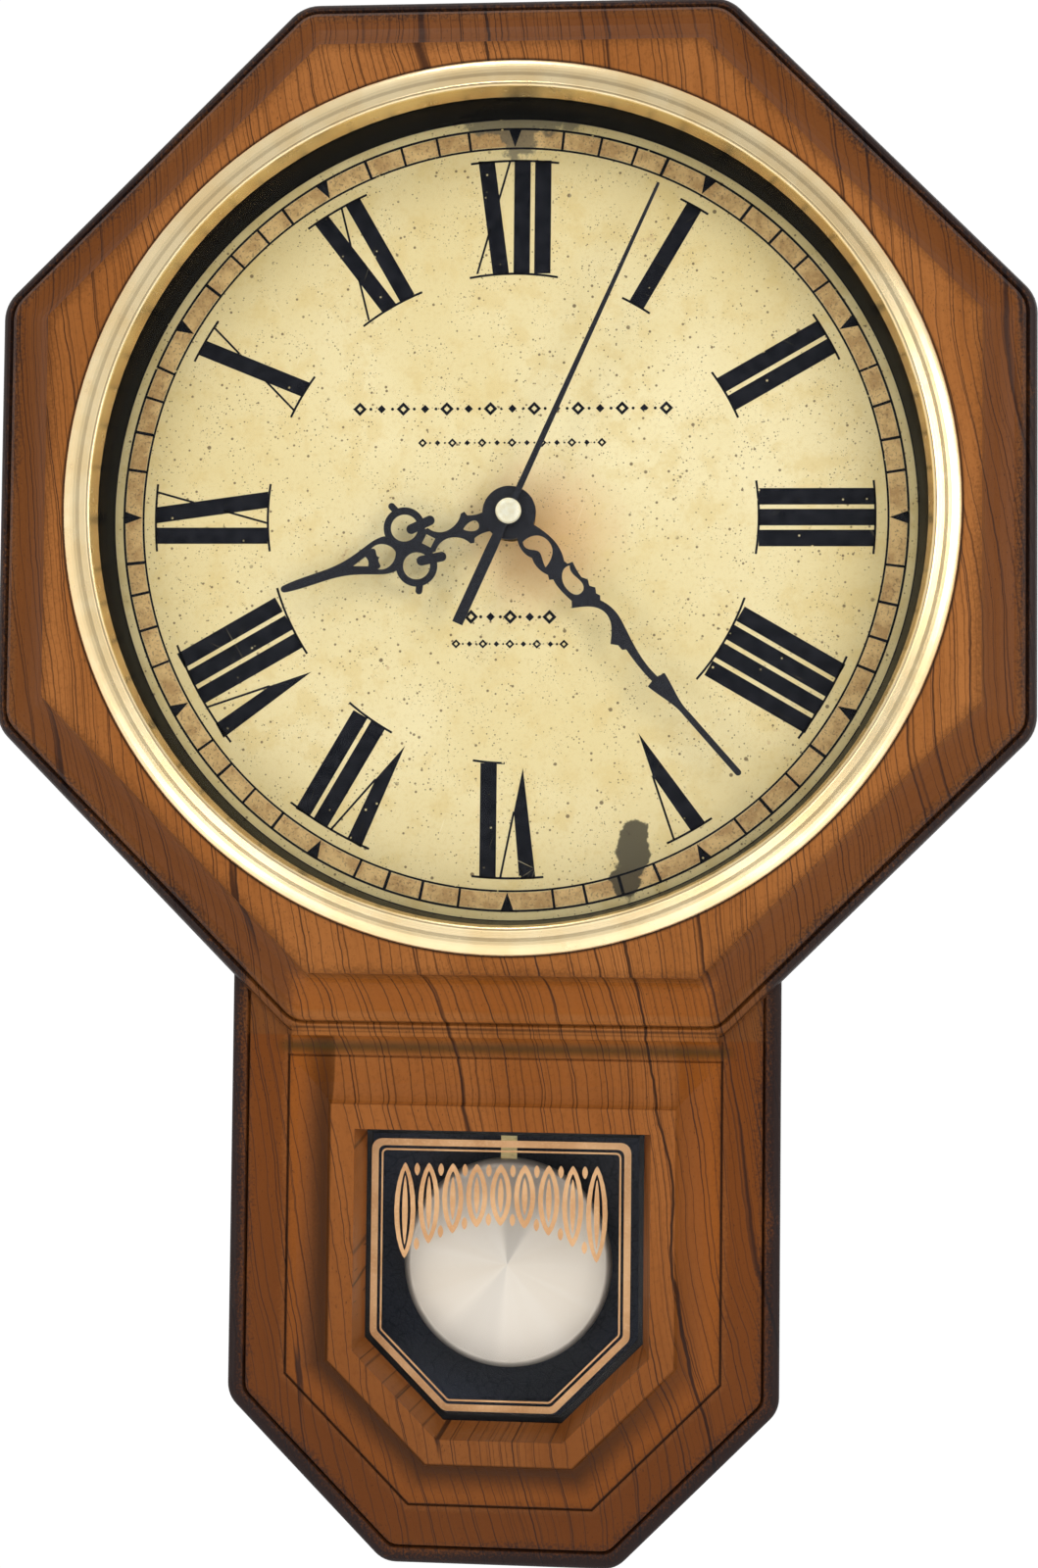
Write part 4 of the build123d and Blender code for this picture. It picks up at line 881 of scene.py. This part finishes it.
# Outer and inner edge of each printed border line, as inset and corner radius.
BORDER_LINES = [((43.2, 3.2), (45.3, 2.0)), ((46.2, 1.6), (46.75, 1.2))]
ARCH_TOP = -197.0 * MM
ARCH_REACH = 29.2 * MM
ARCH_COUNT = 9


def window_outline(inset):
    """Anticlockwise corners of the window's shape at an inset from the drop's outline."""
    slide = inset * math.tan(math.pi / 8)
    half = DROP_HALF_WIDTH - inset
    foot = DROP_HALF_WIDTH - DROP_CHAMFER - slide
    shoulder = DROP_BOTTOM + DROP_CHAMFER + slide
    top = WINDOW_TOP_OFFSET - inset
    bottom = DROP_BOTTOM + inset
    right_side = [(foot, bottom), (half, shoulder), (half, top)]
    left_side = [(-x, z) for x, z in reversed(right_side)]
    corners = right_side[2:] + left_side + right_side[:2]
    return [(x + BORDER_SHIFT, z) for x, z in corners]


def make_window_print():
    """Thick and thin copper border, and an arched row of lancet ornaments."""
    border = Print("window_border", GLASS_FRONT)
    for edges in BORDER_LINES:
        border.frame(*[rounded(window_outline(inset * MM), radius * MM) for inset, radius in edges])
    border.build("case", COPPER)

    arch = Print("window_arch_ornament", GLASS_FRONT)
    step = 2 * ARCH_REACH / (ARCH_COUNT - 1)
    for k in range(ARCH_COUNT):
        across = -ARCH_REACH + step * k
        middle, half = arch_span(across)
        x = across + BORDER_SHIFT
        arch.frame(lancet(x, middle, 3.25 * MM, half), lancet(x, middle, 1.75 * MM, half - 2.4 * MM))
        arch.shape(lancet(x, middle, 0.85 * MM, half - 4.0 * MM))
        if k < ARCH_COUNT - 1:
            middle, half = arch_span(across + step / 2)
            for side in (-1, 1):
                arch.shape(lancet(x + step / 2, middle + side * (half - 2.0 * MM), 0.85 * MM, 1.9 * MM))
    arch.build("case", COPPER)


def arch_span(across):
    """Middle and half height of the arched row, which is tallest at its ends."""
    share = across / ARCH_REACH
    half = (9.3 + 5.2 * share * share) * MM
    return ARCH_TOP - half, half


def lancet(x, z, half_width, half_height, steps=10):
    """Anticlockwise pointed oval."""
    points = []
    for side in (1, -1):
        for i in range(steps):
            turn = math.pi * i / steps
            up = -math.cos(turn) * side
            points.append((x + side * half_width * math.sin(turn) ** 1.5, z + half_height * up))
    return points


# ---------------------------------------------------------------- studio
# Strength of the tent's white walls, of the darker opening behind the camera, and of its ceiling's shade.
TENT_WHITE = 1.05
TENT_DARK = 0.38
TENT_CEILING = 0.30
# The opening starts and is full at these Y parts of a direction, the ceiling's shade at these Z parts.
OPENING_EDGES = (-0.74, -0.94)
CEILING_EDGES = (0.10, 0.60)
# The ceiling is shaded only in front of the clock, between these Y parts.
CEILING_FRONT = (0.3, -0.2)

# The floor's left, right, near and far edges, and how far it lies below the clock.
FLOOR_EDGES = (-1.3, 1.3, -1.7, 0.72)
FLOOR_DROP = 0.35


def make_floor():
    """Plain pale floor below the clock."""
    left, right, near, far = FLOOR_EDGES
    z = cad_low[2] - FLOOR_DROP
    mesh = bpy.data.meshes.new("floor")
    corners = [(left, near, z), (right, near, z), (right, far, z), (left, far, z)]
    mesh.from_pydata(corners, [], [(0, 1, 2, 3)])
    p = Paint("floor_paint")
    cloud = p.noise(p.scaled(3, 3, 3), 1.0, 3.0)
    mesh.materials.append(p.surface(p.mix(cloud, (0.97, 0.97, 0.97), (0.99, 0.99, 0.99)), 0.8))
    floor = bpy.data.objects.new("floor", mesh)
    bpy.context.scene.collection.objects.link(floor)


def ramp(tree, value, edges, low, high, shape="SMOOTHSTEP"):
    """Node output that goes from low to high as the value goes from one edge to the other."""
    node = tree.nodes.new("ShaderNodeMapRange")
    node.interpolation_type = shape
    for name, number in zip(("From Min", "From Max", "To Min", "To Max"), (*edges, low, high)):
        node.inputs[name].default_value = number
    tree.links.new(value, node.inputs["Value"])
    return node.outputs[0]


def combine(tree, kind, first, second):
    """Output of a math node with two linked inputs."""
    node = tree.nodes.new("ShaderNodeMath")
    node.operation = kind
    tree.links.new(first, node.inputs[0])
    tree.links.new(second, node.inputs[1])
    return node.outputs[0]


def make_tent():
    """White tent with a darker opening on the camera's side and a shaded ceiling in front."""
    world = bpy.data.worlds.new("tent")
    world.use_nodes = True
    tree = world.node_tree
    coordinates = tree.nodes.new("ShaderNodeTexCoord")
    split = tree.nodes.new("ShaderNodeSeparateXYZ")
    tree.links.new(coordinates.outputs["Generated"], split.inputs[0])
    walls = ramp(tree, split.outputs["Y"], OPENING_EDGES, TENT_WHITE, TENT_DARK)
    ceiling = ramp(tree, split.outputs["Z"], CEILING_EDGES, 0.0, TENT_CEILING)
    front = ramp(tree, split.outputs["Y"], CEILING_FRONT, 0.0, 1.0, "LINEAR")
    shade = combine(tree, "MULTIPLY", ceiling, front)
    background = tree.nodes["Background"]
    tree.links.new(combine(tree, "SUBTRACT", walls, shade), background.inputs["Strength"])
    background.inputs["Color"].default_value = (1.0, 1.0, 1.0, 1.0)
    bpy.context.scene.world = world
    bpy.context.scene.view_settings.view_transform = "Standard"


LIGHT_TARGET = Vector((0.0, -0.04, -0.06))
WARM = (1.0, 0.98, 0.94)


def area_light(name, place, size, radiance, colour=(1, 1, 1), mirrored=True):
    """Square softbox that faces the clock. Only shiny surfaces show it, and only if it is mirrored."""
    light = bpy.data.lights.new(name, "AREA")
    light.size = size
    light.energy = radiance * math.pi * size * size
    light.color = colour
    lamp = bpy.data.objects.new(name, light)
    bpy.context.scene.collection.objects.link(lamp)
    lamp.location = place
    towards = LIGHT_TARGET - Vector(place)
    lamp.rotation_euler = towards.to_track_quat("-Z", "Y").to_euler()
    lamp.visible_camera = False
    lamp.visible_glossy = mirrored


def make_lights():
    area_light("key", (-0.45, -1.15, 1.08), 0.75, 3.6, mirrored=False)
    area_light("overhead", (-0.15, -0.55, 1.35), 0.25, 9.0)
    area_light("right", (0.95, -1.05, 0.25), 0.60, 4.0)
    area_light("lower_right", (0.58, -1.15, -0.68), 0.68, 1.9, WARM)
    area_light("lower_left", (-0.75, -1.10, -0.55), 0.5, 2.8, WARM)
    area_light("rear", (0.8, 1.4, 0.9), 1.0, 1.0)


# The camera stands a little right of the dial's axis and below it, and looks slightly left and up.
CAMERA_PLACE = (0.0439, -0.6381, -0.1014)
CAMERA_TURN_LEFT = 3.913
CAMERA_TILT_UP = 1.914
CAMERA_ROLL = 0.60
CAMERA_LENS = 45.0


def make_camera():
    """Camera at the matching viewing angle, with everything in focus."""
    data = bpy.data.cameras.new("camera")
    data.sensor_fit = "VERTICAL"
    data.sensor_height = 36.0
    data.lens = CAMERA_LENS
    data.clip_start = 0.01
    camera = bpy.data.objects.new("camera", data)
    bpy.context.scene.collection.objects.link(camera)
    upright = Matrix.Rotation(math.radians(90.0 + CAMERA_TILT_UP), 4, "X")
    turned = Matrix.Rotation(math.radians(CAMERA_TURN_LEFT), 4, "Z") @ upright
    rolled = turned @ Matrix.Rotation(math.radians(CAMERA_ROLL), 4, "Z")
    camera.matrix_world = Matrix.Translation(CAMERA_PLACE) @ rolled
    bpy.context.scene.camera = camera


make_camera()
make_lights()
make_floor()
make_tent()
dress_cad_nodes()
make_dial_print()
make_window_print()
